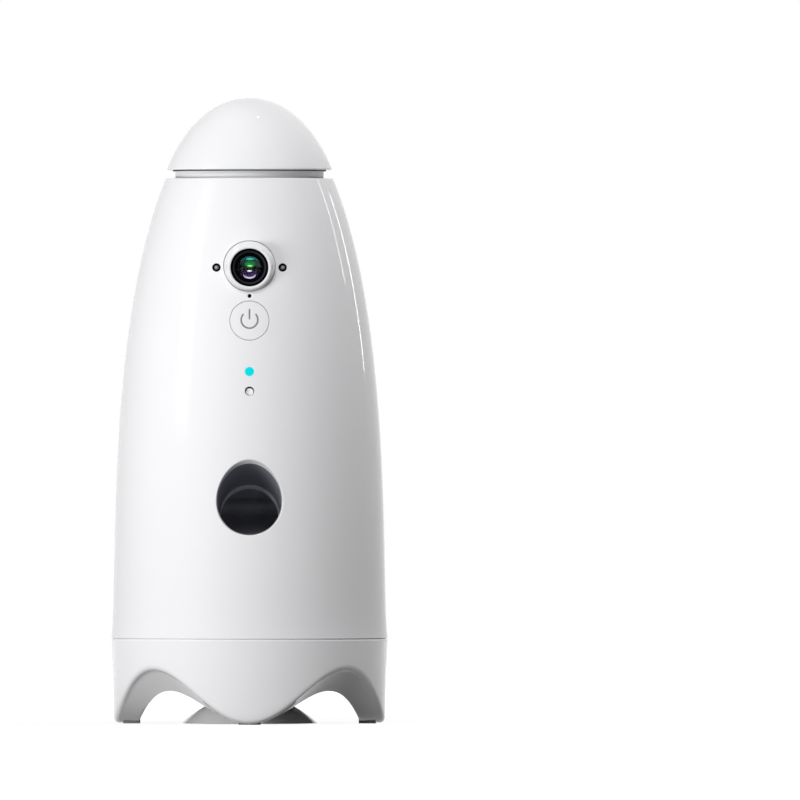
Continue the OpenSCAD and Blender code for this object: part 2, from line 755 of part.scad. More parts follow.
// Metering tray: the hopper's floor, with the drop hole at the back and a pocket for the pinion
module metering_tray() {
    color("gainsboro") difference() {
        union() {
            translate([0, 0, tray_z]) cylinder(r = tray_out_r, h = tray_top - tray_z);
            translate([pinion_x, 0, tray_z]) cylinder(r = pinion_r + 3.4, h = tray_top - tray_z);
            translate([0, 0, tray_z - 4]) cylinder(r = rotor_pin_r + 2.2, h = 5);
        }
        translate([0, 0, tray_z + tray_t]) cylinder(r = tray_in_r, h = tray_top);
        translate([pinion_x, 0, tray_z + tray_t]) cylinder(r = pinion_r + 1.6, h = tray_top);
        translate([0, 0, tray_z - 5]) cylinder(r = rotor_pin_r + press_gap, h = tray_t + 6);
        translate([0, 0, tray_z - 1]) rotate_extrude(angle = drop_angle, start = 90 - drop_angle / 2)
            translate([drop_in_r, 0]) square([drop_out_r - drop_in_r, tray_t + 2]);
        translate([pinion_x, 0, tray_z - 1]) cylinder(r = metering_shaft_r + 0.5, h = tray_t + 2);
    }
}
hub_r = 6;
blade_t = 2;
module metering_rotor() {
    color([0.85, 0.86, 0.88]) translate([0, 0, rotor_z]) difference() {
        union() {
            cylinder(r = hub_r, h = rotor_h);
            difference() {
                linear_extrude(gear_h) gear_outline(ring_teeth);
                translate([0, 0, -1]) cylinder(r = ring_r - 3, h = gear_h + 2);
            }
            // A blade ends inside the teeth, and its wider part passes over the pinion
            for (k = [0:pockets - 1]) rotate([0, 0, k * 360 / pockets + 54]) {
                translate([hub_r - 2, -blade_t / 2, 0]) cube([ring_r - hub_r, blade_t, rotor_h]);
                translate([hub_r - 2, -blade_t / 2, gear_h + seat_gap])
                    cube([blade_r - hub_r + 2, blade_t, rotor_h - gear_h - seat_gap]);
            }
        }
        translate([0, 0, -1]) cylinder(r = rotor_pin_r + running_gap, h = rotor_h + 2);
    }
}
module rotor_pin() {
    color("silver") translate([0, 0, tray_z - 4]) cylinder(r = rotor_pin_r, h = rotor_h + 7);
}
metering_shaft_r = 1.5;
module drive_pinion() {
    color("ivory") translate([pinion_x, 0, rotor_z]) rotate([0, 0, 180 / pinion_teeth]) difference() {
        linear_extrude(gear_h) gear_outline(pinion_teeth);
        translate([0, 0, -1]) cylinder(r = metering_shaft_r + press_gap, h = gear_h + 2);
    }
}
module pinion_shaft() {
    color("silver") translate([pinion_x, 0, tray_z - 5])
        cylinder(r = metering_shaft_r, h = rotor_z - tray_z + gear_h + 5);
}
gearmotor = [10, 12, 24];
module metering_motor() {
    color("silver") difference() {
        translate([pinion_x - gearmotor[0] / 2, -gearmotor[1] / 2, tray_z - gearmotor[2]]) cube(gearmotor);
        translate([pinion_x, 0, tray_z - 6]) cylinder(r = metering_shaft_r + running_gap, h = 7);
    }
}
// Roof over the drop hole, so that only what the rotor carries can fall through
module hopper_baffle() {
    half = drop_angle / 2 + 14;
    color("gainsboro") translate([0, 0, rotor_top + 0.5])
        rotate_extrude(angle = 2 * half, start = 90 - half)
            polygon([[hub_r, 0], [neck_in_r - 0.1, 0], [neck_in_r - 0.1, 2], [hub_r, 7]]);
}

// The lip of the base stands up inside the foot of the body shell, below the shell's bosses
lip_h = deck_top - base_h - seat_gap;
lip_t = 1.8;
lip_out = shell_r(base_h + lip_h, body_wall) - seat_gap;

// Chassis: a round deck on the base's shelf, with bosses and two grooved posts for the main board
deck_r = lip_out - lip_t - seat_gap;
guide_x = 29;
guide_w = 4.4;
guide_t = 2;
guide_gap = 2.7;
board_y = sqrt(pow(base_r_in - guide_gap, 2) - pow(guide_x + guide_w / 2, 2)) - board_t - guide_t;
main_board_h = 56;
module chassis() {
    color("dimgray") difference() {
        union() {
            translate([0, 0, deck_z]) cylinder(r = deck_r, h = deck_t);
            at_angles(base_screw_angles, base_screw_place) translate([0, 0, deck_z]) cylinder(r = 3.5, h = 9);
            for (x = [-guide_x, guide_x])
                translate([x - guide_w / 2, board_y - guide_t, deck_z])
                    cube([guide_w, board_t + 2 * guide_t, main_board_h + 6]);
        }
        translate([-guide_x + 1, board_y - 0.1, deck_top])
            cube([2 * guide_x - 2, board_t + 0.2, main_board_h + 9]);
        translate([0, -38, deck_z - 1]) cylinder(r = 6, h = deck_t + 2);
        at_angles(base_screw_angles, base_screw_place)
            translate([0, 0, deck_z - 1]) cylinder(r = case_screw_r + press_gap, h = 9);
        for (a = shell_screw_angles) at_angles([a], shell_screw_place)
            translate([0, 0, deck_z - 1]) cylinder(r = case_screw_r + seat_gap, h = deck_t + 2);
        for (p = launcher_screw_places)
            translate([p[0], p[1], deck_z - 1]) cylinder(r = case_screw_r + press_gap, h = deck_t + 2);
    }
}
module main_board() {
    color("darkgreen") translate([-guide_x + 1.2, board_y, deck_top])
        cube([2 * guide_x - 2.4, board_t, main_board_h]);
}
// Sizes of what stands on the main board: width, depth and height
radio_shield = [18, 2.6, 20];
processor = [14, 1.4, 14];
memory_chip = [9, 1.2, 7];
plug_socket = [8, 5, 5];
chip_gap = 6;
module on_board(x, z, size) {
    translate([x, board_y - size[1], deck_top + z]) cube(size);
}
module main_chips() {
    color("silver") on_board(-radio_shield[0] - chip_gap / 2, main_board_h / 7, radio_shield);
    color("black") on_board(chip_gap / 2, main_board_h / 3, processor);
    color("black") on_board(-memory_chip[0] - chip_gap, 0.55 * main_board_h, memory_chip);
    color("ivory") for (k = [0, 1])
        on_board(chip_gap / 2 + k * (plug_socket[0] + chip_gap / 2), main_board_h / 7, plug_socket);
}

// Base: the wave of arches along the lower edge is one ruled surface from the inner to the outer edge
seam_chamfer = 0.4;
ledge_r = foot_ring_r - 2.5;
plate_z = foot_proud + arch_inner_h + 0.1;
ledge_z = plate_z + plate_t;
inner_top = ledge_z + 2;
wave_steps = 72;
function wave(a) = (1 - cos(leg_count * a)) / 2;
function base_r(z) = mix(base_foot_r, body_r, min(max(z / base_h, 0), 1));
// Rings of the wave surface at an angle, from the inside out, with the round at the outer edge
function wave_line(a, rise) =
    let (low = foot_proud + arch_inner_h * wave(a) + rise,
         high = foot_proud + arch_h * wave(a) + rise,
         edge = base_r(high))
    concat(
        [[foot_ring_r - 5, low], [foot_ring_r - 1, low]],
        [for (t = [0, 30, 60, 88]) [edge - arch_round * (1 - sin(t)), high + arch_round * (1 - cos(t))]],
        [[body_r + 6, high + arch_round]]
    );
wave_rings = len(wave_line(0, 0));
// A solid ring above or below the wave surface, as far as the level
module wave_solid(rise, level) {
    points = [for (k = [0:wave_steps - 1])
        let (a = k * 360 / wave_steps, line = wave_line(a, rise))
        each concat(
            [for (p = line) [p[0] * cos(a), p[0] * sin(a), p[1]]],
            [for (p = [line[wave_rings - 1], line[0]]) [p[0] * cos(a), p[0] * sin(a), level]]
        )];
    n = wave_rings + 2;
    faces = [for (k = [0:wave_steps - 1], j = [0:n - 1]) let (next = (k + 1) % wave_steps, i = (j + 1) % n)
        [k * n + j, k * n + i, next * n + i, next * n + j]];
    polyhedron(points, level > rise + arch_h ? faces : [for (f = faces) [f[3], f[2], f[1], f[0]]]);
}
base_screw_angles = [for (k = [0:3]) 45 + 90 * k];
base_screw_place = ledge_r - 2;
module base_shell() {
    color("white") difference() {
        union() {
            difference() {
                rotate_extrude() polygon([
                    [foot_ring_r, 0], [base_foot_r, 0], [body_r, base_h - seam_chamfer],
                    [body_r - seam_chamfer, base_h], [lip_out, base_h], [lip_out, base_h + lip_h],
                    [lip_out - lip_t, base_h + lip_h], [lip_out - lip_t, deck_z], [ledge_r, deck_z],
                    [ledge_r, ledge_z], [foot_ring_r, ledge_z]
                ]);
                wave_solid(0, -3);
                rotate_extrude() polygon([
                    [0, inner_top], [foot_ring_r + base_wall + 0.4, inner_top],
                    [foot_ring_r + base_wall + 0.4, base_h + 9], [0, base_h + 9]
                ]);
                intersection() {
                    rotate_extrude() polygon([
                        [foot_ring_r + base_wall, 0], [base_r_in, 0], [base_r_in, base_h - 6],
                        [lip_out - 4.6, base_h - 2], [lip_out - 4.6, base_h + 9],
                        [foot_ring_r + base_wall, base_h + 9]
                    ]);
                    wave_solid(base_wall, base_h + 20);
                }
            }
            at_angles(base_screw_angles, base_screw_place) translate([0, 0, ledge_z])
                cylinder(r = 3.5, h = deck_z - ledge_z);
            intersection() {
                translate([-socket_block_w / 2, base_r_in - 2.5, socket_z - 5])
                    cube([socket_block_w, 4, charging_board_z - socket_z + 5]);
                translate([0, 0, 5]) cylinder(r = base_r_in + 1, h = base_h);
            }
            for (x = post_x) translate([x, post_y, ledge_z])
                cylinder(r = 2.2, h = charging_board_z - ledge_z);
        }
        at_angles(base_screw_angles, base_screw_place)
            translate([0, 0, ledge_z - 1]) cylinder(r = case_screw_r + seat_gap, h = base_h);
        translate([0, socket_front + 6, socket_z]) rotate([90, 0, 0])
            slot_form(socket_recess[0], socket_recess[1], 6);
        translate([0, socket_front + 1, socket_z]) rotate([90, 0, 0])
            slot_form(socket_w + 0.2, socket_h + 0.2, 8);
        for (x = post_x) translate([x, post_y, ledge_z + 1])
            cylinder(r = screw_r + press_gap, h = charging_board_z);
        rubber_foot_form(0.05);
    }
}
module slot_form(w, h, depth) {
    linear_extrude(depth) union() {
        square([w - h, h], center = true);
        for (s = [-1, 1]) translate([s * (w - h) / 2, 0]) circle(r = h / 2);
    }
}
socket_recess = [11.5, 6.5];
socket_front = base_r(socket_z) - 1.2;
socket_l = 7.3;
socket_block_w = 18;
charging_board_z = socket_z + socket_h / 2;
module charging_socket() {
    color("silver") translate([0, socket_front, socket_z]) rotate([90, 0, 0]) difference() {
        slot_form(socket_w, socket_h, socket_l);
        translate([0, 0, -1]) slot_form(socket_w - 0.6, socket_h - 0.6, socket_l - 0.5);
    }
    color("black") translate([-3.2, socket_front - socket_l + 0.8, socket_z - 0.35]) cube([6.4, 5.4, 0.7]);
}
charging_board_w = 22;
charging_board_l = 13.2;
post_x = [-charging_board_w / 2 + 3, charging_board_w / 2 - 3];
post_y = foot_ring_r + 0.2;
module charging_board() {
    color("darkgreen") difference() {
        translate([-charging_board_w / 2, post_y + 6 - charging_board_l, charging_board_z])
            cube([charging_board_w, charging_board_l, board_t]);
        for (x = post_x) translate([x, post_y, charging_board_z - 1])
            cylinder(r = screw_r + 0.2, h = board_t + 2);
    }
}
speaker_at = [0, -24];
module bottom_plate() {
    color("whitesmoke") difference() {
        translate([0, 0, plate_z]) cylinder(r = foot_ring_r - seat_gap, h = plate_t);
        translate([0, 0, plate_z - 1]) cylinder(r = cup_neck_r + 0.1, h = plate_t + 2);
        at_angles(base_screw_angles, base_screw_place) translate([0, 0, plate_z - 1]) {
            cylinder(r = case_screw_r + seat_gap, h = plate_t + 2);
            cylinder(r = 2.7, h = 2.2);
        }
        for (i = [-3:3]) translate([speaker_at[0] - slot_half(i), speaker_at[1] + 3 * i - 0.7, plate_z - 1])
            cube([2 * slot_half(i), 1.4, plate_t + 2]);
    }
}
function slot_half(i) = sqrt(pow(speaker_r - 3, 2) - pow(3 * i, 2));
module speaker() {
    color("dimgray") translate([speaker_at[0], speaker_at[1], ledge_z]) {
        difference() {
            cylinder(r = speaker_r, h = 2.4);
            translate([0, 0, -1]) cylinder(r = speaker_r - 2.2, h = 2.2);
        }
        translate([0, 0, 2.3]) cylinder(r1 = speaker_r - 2, r2 = 7, h = 2.2);
        translate([0, 0, 4.4]) cylinder(r = 7, h = 3.4);
    }
}

// Suction cup: a thin dome with a neck through the bottom plate and a head above it
cup_neck_r = 3.8;
cup_steps = 14;
cup_wall = 1.7;
module suction_cup() {
    ball_r = (cup_r * cup_r + cup_h * cup_h) / (2 * cup_h);
    sweep = asin(cup_r / ball_r);
    in_r = ball_r - cup_wall;
    low = cup_h - ball_r;
    in_sweep = acos(-low / in_r);
    color([0.92, 0.93, 0.94]) rotate_extrude() polygon(concat(
        [[0, ledge_z + 3.4], [cup_neck_r + 0.9, ledge_z + 3.4], [cup_neck_r + 1.6, ledge_z + 0.1],
         [cup_neck_r, ledge_z + 0.1], [cup_neck_r, plate_z - 0.1], [cup_neck_r + 1.6, plate_z - 0.1]],
        [for (i = [2:cup_steps]) let (a = sweep * i / cup_steps) [ball_r * sin(a), low + ball_r * cos(a)]],
        [for (i = [0:cup_steps]) let (a = in_sweep * (1 - i / cup_steps))
            [in_r * sin(a), low + in_r * cos(a)]]
    ));
}
module rubber_foot_form(grow) {
    r = foot_ring_r - 0.4;
    for (k = [0:leg_count - 1])
        rotate_extrude(angle = foot_span + 2 * grow, start = k * 360 / leg_count - foot_span / 2 - grow)
            translate([r - grow, -grow]) square([foot_w + 2 * grow, foot_h + grow]);
}
module rubber_feet() { color("dimgray") rubber_foot_form(0); }

// Screws: a round head, a socket in it and a plain shank
module screw(r, l, head_r, head_h) {
    difference() {
        union() {
            cylinder(r = head_r, h = head_h);
            translate([0, 0, head_h - eps]) cylinder(r = r, h = l + eps);
        }
        translate([0, 0, -1]) cylinder(r = r * 0.6, h = 1 + head_h * 0.6, $fn = 6);
    }
}
module base_screws() {
    color("silver") at_angles(base_screw_angles, base_screw_place) translate([0, 0, plate_z - 0.2])
        screw(case_screw_r, deck_top + 3 - plate_z, 2.5, 1.4);
}
module shell_screws() {
    color("silver") for (a = shell_screw_angles) at_angles([a], shell_screw_place)
        translate([0, 0, deck_z - 1.6]) screw(case_screw_r, deck_t + 7, 2.4, 1.6);
}
module launcher_screws() {
    color("silver") for (p = launcher_screw_places) translate([p[0], p[1], deck_top + leg_t + 1.6])
        mirror([0, 0, 1]) screw(case_screw_r, leg_t + deck_t, 2.4, 1.6);
}
module cover_screws() {
    color("silver") for (a = cover_screw_angles) let (place = drum_at + polar(cover_screw_place, a))
        translate([-drum_w / 2 - drum_wall - 1.4, place[0], place[1]])
            rotate([0, 90, 0]) screw(case_screw_r, drum_wall + 7, 2.4, 1.4);
}
module board_screws() {
    color("silver") {
        for (p = board_screw_places) facing_front(p[0], p[2] + board_t + 1.2, p[1])
            screw(screw_r, board_t + 2.4, 1.8, 1.2);
        for (x = post_x) translate([x, post_y, charging_board_z + board_t + 1.2])
            mirror([0, 0, 1]) screw(screw_r, board_t + 2.8, 1.8, 1.2);
    }
}

body_shell();
hopper();
lid();
lid_liner();
lid_seal();
camera_bezel();
camera_barrel();
camera_lens();
camera_board();
infrared_rings();
infrared_lights();
microphone();
microphone_boot();
front_board();
power_button();
power_key();
power_switch();
reset_button();
reset_key();
reset_switch();
status_light_pipe();
status_led();
outlet_chute();
launcher_housing();
launcher_cover();
paddle_wheel();
paddle_shaft();
paddle_bush();
launch_motor();
metering_tray();
metering_rotor();
rotor_pin();
drive_pinion();
pinion_shaft();
metering_motor();
hopper_baffle();
chassis();
main_board();
main_chips();
base_shell();
bottom_plate();
speaker();
charging_board();
charging_socket();
suction_cup();
rubber_feet();
base_screws();
shell_screws();
cover_screws();
launcher_screws();
board_screws();
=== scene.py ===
# %% [markdown]
# This lesson dresses a treat-tossing pet camera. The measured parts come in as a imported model, and each
# visible surface then gets either a finish or a smoother piece built round the same sizes.
# Everything is in metres, with the floor at Z = 0 and the camera's eye looking along -Y.

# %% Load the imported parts
import json
import math

import bmesh
import bpy
import numpy as np
from mathutils import Matrix, Vector

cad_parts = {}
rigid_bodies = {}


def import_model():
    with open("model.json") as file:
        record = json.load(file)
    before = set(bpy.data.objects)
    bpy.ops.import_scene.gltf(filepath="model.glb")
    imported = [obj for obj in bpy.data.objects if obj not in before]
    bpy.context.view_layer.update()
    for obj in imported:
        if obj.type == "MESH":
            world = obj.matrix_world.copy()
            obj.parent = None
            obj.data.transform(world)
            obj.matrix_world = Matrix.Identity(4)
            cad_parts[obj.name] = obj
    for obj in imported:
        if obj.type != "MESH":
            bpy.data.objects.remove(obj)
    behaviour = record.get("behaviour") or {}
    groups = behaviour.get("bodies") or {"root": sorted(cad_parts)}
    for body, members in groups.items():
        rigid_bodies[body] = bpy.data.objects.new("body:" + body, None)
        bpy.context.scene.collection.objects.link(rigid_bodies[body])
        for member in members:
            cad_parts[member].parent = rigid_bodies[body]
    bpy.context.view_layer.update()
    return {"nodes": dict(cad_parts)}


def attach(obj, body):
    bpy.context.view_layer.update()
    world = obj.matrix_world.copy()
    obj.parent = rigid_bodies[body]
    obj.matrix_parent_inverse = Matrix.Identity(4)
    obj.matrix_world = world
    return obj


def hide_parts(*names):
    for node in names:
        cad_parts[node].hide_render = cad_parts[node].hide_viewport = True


for leftover in list(bpy.data.objects):
    bpy.data.objects.remove(leftover)
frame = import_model()
MM = 0.001

# %% [markdown]
# The photograph was taken level, from far away, so edges hardly converge. A long lens far off copies
# that. The object stands left of the picture's middle, and a sideways shift of the lens puts it there
# without turning the camera.

# %% Camera
PIXELS_PER_MM = 2.405
FRAME_PIXELS = 800
AXIS_COLUMN = 249.5
FLOOR_ROW = 723.3
LENS_MM = 1200
SENSOR_MM = 36
SIGHT_ENDS = 100

eye = bpy.data.cameras.new("portrait_camera")
eye.lens = LENS_MM
eye.sensor_width = SENSOR_MM
eye.shift_x = 0.5 - AXIS_COLUMN / FRAME_PIXELS
eye.clip_end = SIGHT_ENDS
camera = bpy.data.objects.new("portrait_camera", eye)
bpy.context.scene.collection.objects.link(camera)
frame_width = FRAME_PIXELS / PIXELS_PER_MM * MM
camera_height = (FLOOR_ROW - FRAME_PIXELS / 2) / PIXELS_PER_MM * MM
camera.location = (0, -frame_width * LENS_MM / SENSOR_MM, camera_height)
camera.rotation_euler = (math.radians(90), 0, 0)
bpy.context.scene.camera = camera
bpy.context.scene.view_settings.view_transform = "Standard"
print("camera stands", round(-camera.location.y, 2), "m away, at height", round(camera_height, 4))

# %% [markdown]
# A material is a web of small nodes. These helpers keep its making short: one adds a node, with its
# settings and with plain values or links in its inputs, and the others give the nodes used most.

# %% Node helpers
def fill(tree, node, inputs):
    """Fills a node's inputs, each with a number, a colour or another node's output."""
    for name, value in inputs.items():
        socket = node.inputs[name]
        if isinstance(value, bpy.types.NodeSocket):
            tree.links.new(value, socket)
        elif socket.type == "RGBA":
            socket.default_value = (*value, 1)
        else:
            socket.default_value = value


def add_node(tree, kind, inputs=None, **settings):
    node = tree.nodes.new("ShaderNode" + kind)
    for name, value in settings.items():
        setattr(node, name, value)
    fill(tree, node, inputs or {})
    return node


def math_node(tree, operation, first, second):
    return add_node(tree, "Math", {0: first, 1: second}, operation=operation).outputs[0]


def object_place(tree):
    """Where on the object a point lies, in metres."""
    return add_node(tree, "TexCoord").outputs["Object"]


def two_tones(tree, mask, under, over):
    """The colour under where the mask is 0, over where it is 1, and a mix between."""
    inputs = {"Factor": mask, "A": under, "B": over}
    return add_node(tree, "Mix", inputs, data_type="RGBA").outputs["Result"]


def soft_ramp(tree, value, start, end, low, high):
    """A number that glides from low to high while the value goes from start to end."""
    inputs = {"Value": value, "From Min": start, "From Max": end, "To Min": low, "To Max": high}
    ramp = add_node(tree, "MapRange", inputs, interpolation_type="SMOOTHSTEP")
    return ramp.outputs["Result"]


def light_path_mask(tree):
    """1 for what the camera sees directly, in a mirror or through glass, and 0 for lighting."""
    path = add_node(tree, "LightPath").outputs
    undimmed = math_node(tree, "LESS_THAN", path["Diffuse Depth"], 0.5)
    mirrored = math_node(tree, "MULTIPLY", path["Is Glossy Ray"], undimmed)
    seen_at_all = math_node(tree, "MAXIMUM", path["Is Camera Ray"], mirrored)
    return math_node(tree, "MAXIMUM", seen_at_all, path["Is Transmission Ray"])


print("node helpers ready")

# %% [markdown]
# White plastic looks white only against something. The walls of the studio are pure white for the
# camera and for reflections, and give no light to anything else, so the lamps alone shape the body.

# %% The studio's walls
world = bpy.data.worlds.new("studio")
world.use_nodes = True
bpy.context.scene.world = world
sky = world.node_tree
sky.nodes.clear()
unlit = add_node(sky, "Background", {"Strength": 0})
white = add_node(sky, "Background", {"Color": (1, 1, 1)})
walls = add_node(sky, "MixShader", {0: light_path_mask(sky), 1: unlit.outputs[0],
                                    2: white.outputs[0]})
add_node(sky, "OutputWorld", {"Surface": walls.outputs[0]})
print("walls of", world.name)

# %% [markdown]
# The floor is pale paper that catches the object's soft shadow. Close to the object it throws little
# light back, so that the arches stay in shade, and further out it throws more. For the camera it also
# glows: a little under white round the object, and white further out, so that no horizon shows.

# %% The floor
FLOOR_REACH = 4.0
NEAR_ENDS, TONE_ENDS, GLOW_ENDS = 0.07, 1.6, 0.6
TONE_NEAR, TONE_FAR = 0.1, 0.8
GLOW_NEAR, GLOW_FAR = 0.93, 1.0

corners = [(-FLOOR_REACH, -FLOOR_REACH, 0), (FLOOR_REACH, -FLOOR_REACH, 0),
           (FLOOR_REACH, FLOOR_REACH, 0), (-FLOOR_REACH, FLOOR_REACH, 0)]
floor_mesh = bpy.data.meshes.new("studio_floor")
floor_mesh.from_pydata(corners, [], [(0, 1, 2, 3)])
floor = bpy.data.objects.new("studio_floor", floor_mesh)
bpy.context.scene.collection.objects.link(floor)

paper = bpy.data.materials.new("studio_paper")
paper.use_nodes = True
tree = paper.node_tree
tree.nodes.clear()
how_far = add_node(tree, "VectorMath", {0: object_place(tree)}, operation="LENGTH").outputs["Value"]
matte = add_node(tree, "BsdfDiffuse", {
    "Color": soft_ramp(tree, how_far, NEAR_ENDS, TONE_ENDS, TONE_NEAR, TONE_FAR)})
glow = soft_ramp(tree, how_far, NEAR_ENDS, GLOW_ENDS, GLOW_NEAR, GLOW_FAR)
lift = add_node(tree, "Emission", {
    "Strength": math_node(tree, "MULTIPLY", light_path_mask(tree), glow)})
both = add_node(tree, "AddShader", {0: matte.outputs[0], 1: lift.outputs[0]})
add_node(tree, "OutputMaterial", {"Surface": both.outputs[0]})
floor.data.materials.append(paper)
print("floor", 2 * FLOOR_REACH, "m wide")

# %% [markdown]
# Large soft panels shape the body, and stay out of its reflections. The two at the left and the one in
# front make its left side evenly white, the one above lights the lid and the shoulder, and three at
# the right lift the far edge out of the shade. Each is given by the directions of its two ends.

# %% Soft panels
TARGET = Vector((0, 0, 0.14))
# For each panel: its start and end as (azimuth, elevation), its width, its distance and its power.
SOFT_PANELS = {
    "left_panel_low": ((-58.5, -4.5), (-29.5, -4.5), 0.12, 0.8, 3.25),
    "left_panel": ((-106.5, 4), (-77.5, 4), 0.8, 2.0, 5.9),
    "front_panel": ((-24.5, 36), (4.5, 36), 0.8, 2.0, 18.5),
    "top_panel": ((-120, 80), (60, 80), 0.8, 2.0, 4.0),
    "right_panel_low": ((77.5, -3), (106.5, -3), 0.12, 0.8, 0.45),
    "right_panel_high": ((97.5, 58), (126.5, 58), 0.8, 2.0, 15.5),
    "right_panel_front": ((50.5, 58), (79.5, 58), 0.8, 2.0, 2.0),
}


def direction(azimuth, elevation):
    """A unit vector. Azimuth 0 is in front and minus is left, and elevation 90 is straight up."""
    turn, rise = math.radians(azimuth), math.radians(elevation)
    level = math.cos(rise)
    return Vector((math.sin(turn) * level, -math.cos(turn) * level, math.sin(rise)))


def panel(name, start, end, width, distance, power, mirrored):
    """An area lamp that faces the object. It either lights it or is only mirrored in it."""
    ends = [TARGET + direction(*d) * distance for d in (start, end)]
    lamp = bpy.data.lights.new(name, "AREA")
    lamp.shape = "RECTANGLE"
    lamp.size, lamp.size_y = (ends[1] - ends[0]).length, width
    lamp.energy = power
    box = bpy.data.objects.new(name, lamp)
    bpy.context.scene.collection.objects.link(box)
    along = (ends[1] - ends[0]).normalized()
    middle = (ends[0] + ends[1]) / 2
    away = middle - TARGET
    away = (away - along * away.dot(along)).normalized()
    turn = Matrix((along, away.cross(along), away)).transposed().to_4x4()
    box.matrix_world = Matrix.Translation(middle) @ turn
    box.visible_glossy, box.visible_diffuse = mirrored, not mirrored
    box.visible_camera = False


for name, place in SOFT_PANELS.items():
    panel(name, *place, mirrored=False)
print(len(SOFT_PANELS), "soft panels")

# %% [markdown]
# Weak panels that show in reflections alone draw what the glossy skin mirrors in the photograph: a
# broad band at the left, two thin streaks at the right, and a dot on the lid.

# %% Mirrored panels
MIRRORED_PANELS = {
    "band": ((-62, 5), (-62, 41), 0.37, 1.5, 0.9),
    "streak": ((130.5, 5), (130.5, 20), 0.03, 1.5, 0.35),
    "streak_faint": ((115, 13), (115, 28), 0.03, 1.5, 0.25),
    "dot": ((128, 79), (128, 80.2), 0.03, 1.2, 0.06),
}
for name, place in MIRRORED_PANELS.items():
    panel(name, *place, mirrored=True)
print(len(MIRRORED_PANELS), "mirrored panels")

# %% [markdown]
# Moulded plastic is never one flat colour. The pigment flows a little unevenly, and the mould leaves a
# faint orange peel. One node group makes both from the place on the object, and each plastic sets its
# own amounts.

# %% Group: moulded plastic
KINDS = {"number": "NodeSocketFloat", "colour": "NodeSocketColor", "vector": "NodeSocketVector"}


def new_group(name, inputs, outputs):
    """A node group with its sockets. Inputs have a kind and a value, and outputs have a kind."""
    group = bpy.data.node_groups.new(name, "ShaderNodeTree")
    face = group.interface
    for label, (kind, value) in inputs.items():
        socket = face.new_socket(name=label, in_out="INPUT", socket_type=KINDS[kind])
        socket.default_value = value
    for label, kind in outputs.items():
        face.new_socket(name=label, in_out="OUTPUT", socket_type=KINDS[kind])
    return group, group.nodes.new("NodeGroupInput").outputs, group.nodes.new("NodeGroupOutput")


moulded, given, made = new_group("moulded_plastic", {
    "Light tone": ("colour", (0.9, 0.9, 0.9, 1)), "Dark tone": ("colour", (0.8, 0.8, 0.8, 1)),
    "Flow size": ("number", 30.0), "Grain size": ("number", 900.0),
    "Smoothest": ("number", 0.1), "Roughest": ("number", 0.2),
}, {"Color": "colour", "Roughness": "number", "Height": "number"})
place = object_place(moulded)
flow = add_node(moulded, "TexNoise", {
    "Vector": place, "Scale": given["Flow size"], "Detail": 3}).outputs["Fac"]
grain = add_node(moulded, "TexNoise", {
    "Vector": place, "Scale": given["Grain size"], "Detail": 2}).outputs["Fac"]
rough = add_node(moulded, "MapRange", {
    "Value": flow, "To Min": given["Smoothest"], "To Max": given["Roughest"]}).outputs["Result"]
tone = two_tones(moulded, flow, given["Light tone"], given["Dark tone"])
fill(moulded, made, {"Color": tone, "Roughness": rough, "Height": grain})
print("moulded_plastic has", len(moulded.nodes), "nodes")

# %% [markdown]
# Each finish is then a material with its own numbers. Constants such as the gloss sit on the shader
# itself, and only what varies over the surface comes out of the group.

# %% Finishes in plastic and rubber
def shader_of(name):
    """A new material, its node tree and its Principled shader."""
    material = bpy.data.materials.new(name)
    material.use_nodes = True
    nodes = material.node_tree
    return material, nodes, nodes.nodes["Principled BSDF"]


def plastic(name, light, dark, smooth, rough, flow=30.0, grain=900.0, bump=0.00001, gloss=0.5):
    """A moulded finish. Flow and grain count waves in a metre, and bump is the depth in metres."""
    material, nodes, shader = shader_of(name)
    mould = add_node(nodes, "Group", {
        "Light tone": light, "Dark tone": dark, "Flow size": flow, "Grain size": grain,
        "Smoothest": smooth, "Roughest": rough}, node_tree=moulded).outputs
    relief = add_node(nodes, "Bump", {"Distance": bump, "Height": mould["Height"]})
    fill(nodes, shader, {"Base Color": mould["Color"], "Roughness": mould["Roughness"],
                         "Normal": relief.outputs["Normal"], "Specular IOR Level": gloss})
    return material


shell_white = plastic("shell_white", (0.87, 0.87, 0.885), (0.85, 0.85, 0.868), 0.04, 0.08,
                      bump=0.0000015)
inner_white = plastic("inner_white", (0.84, 0.845, 0.86), (0.79, 0.80, 0.82), 0.35, 0.5,
                      bump=0.00002)
gloss_black = plastic("gloss_black", (0.004, 0.004, 0.005), (0.002, 0.002, 0.003), 0.12, 0.2,
                      flow=200.0, gloss=0.04)
chute_slate = plastic("chute_slate", (0.32, 0.325, 0.37), (0.25, 0.255, 0.3), 0.3, 0.4, flow=40.0)
# Painted highlight: the pale slate of the throat's lip stands for a glint on its edge.
glint_slate = plastic("glint_slate", (0.85, 0.86, 0.9), (0.75, 0.76, 0.8), 0.3, 0.4, flow=60.0)
# Painted light: a lighter copy of the chute's slate for the launcher parts deep in the throat, where
# little light reaches.
lit_throat_slate = plastic("lit_throat_slate", (0.62, 0.63, 0.68), (0.5, 0.51, 0.56), 0.4, 0.6, flow=60.0)
dark_plastic = plastic("dark_plastic", (0.04, 0.042, 0.048), (0.02, 0.021, 0.025), 0.4, 0.6,
                       bump=0.00004)
mark_grey = plastic("mark_grey", (0.25, 0.25, 0.265), (0.2, 0.2, 0.215), 0.4, 0.5, flow=400.0)
soft_black = plastic("soft_black", (0.03, 0.03, 0.032), (0.015, 0.015, 0.016), 0.65, 0.85,
                     flow=150.0, grain=2500.0, bump=0.00005)
foot_grey = plastic("foot_grey", (0.34, 0.34, 0.35), (0.27, 0.27, 0.28), 0.6, 0.8,
                    flow=150.0, grain=2500.0, bump=0.00005)
print([m.name for m in bpy.data.materials if m.use_nodes])

# %% [markdown]
# The suction cup is milky silicone: light goes in, wanders and comes out. Subsurface scattering does
# that, with a smooth surface on top.

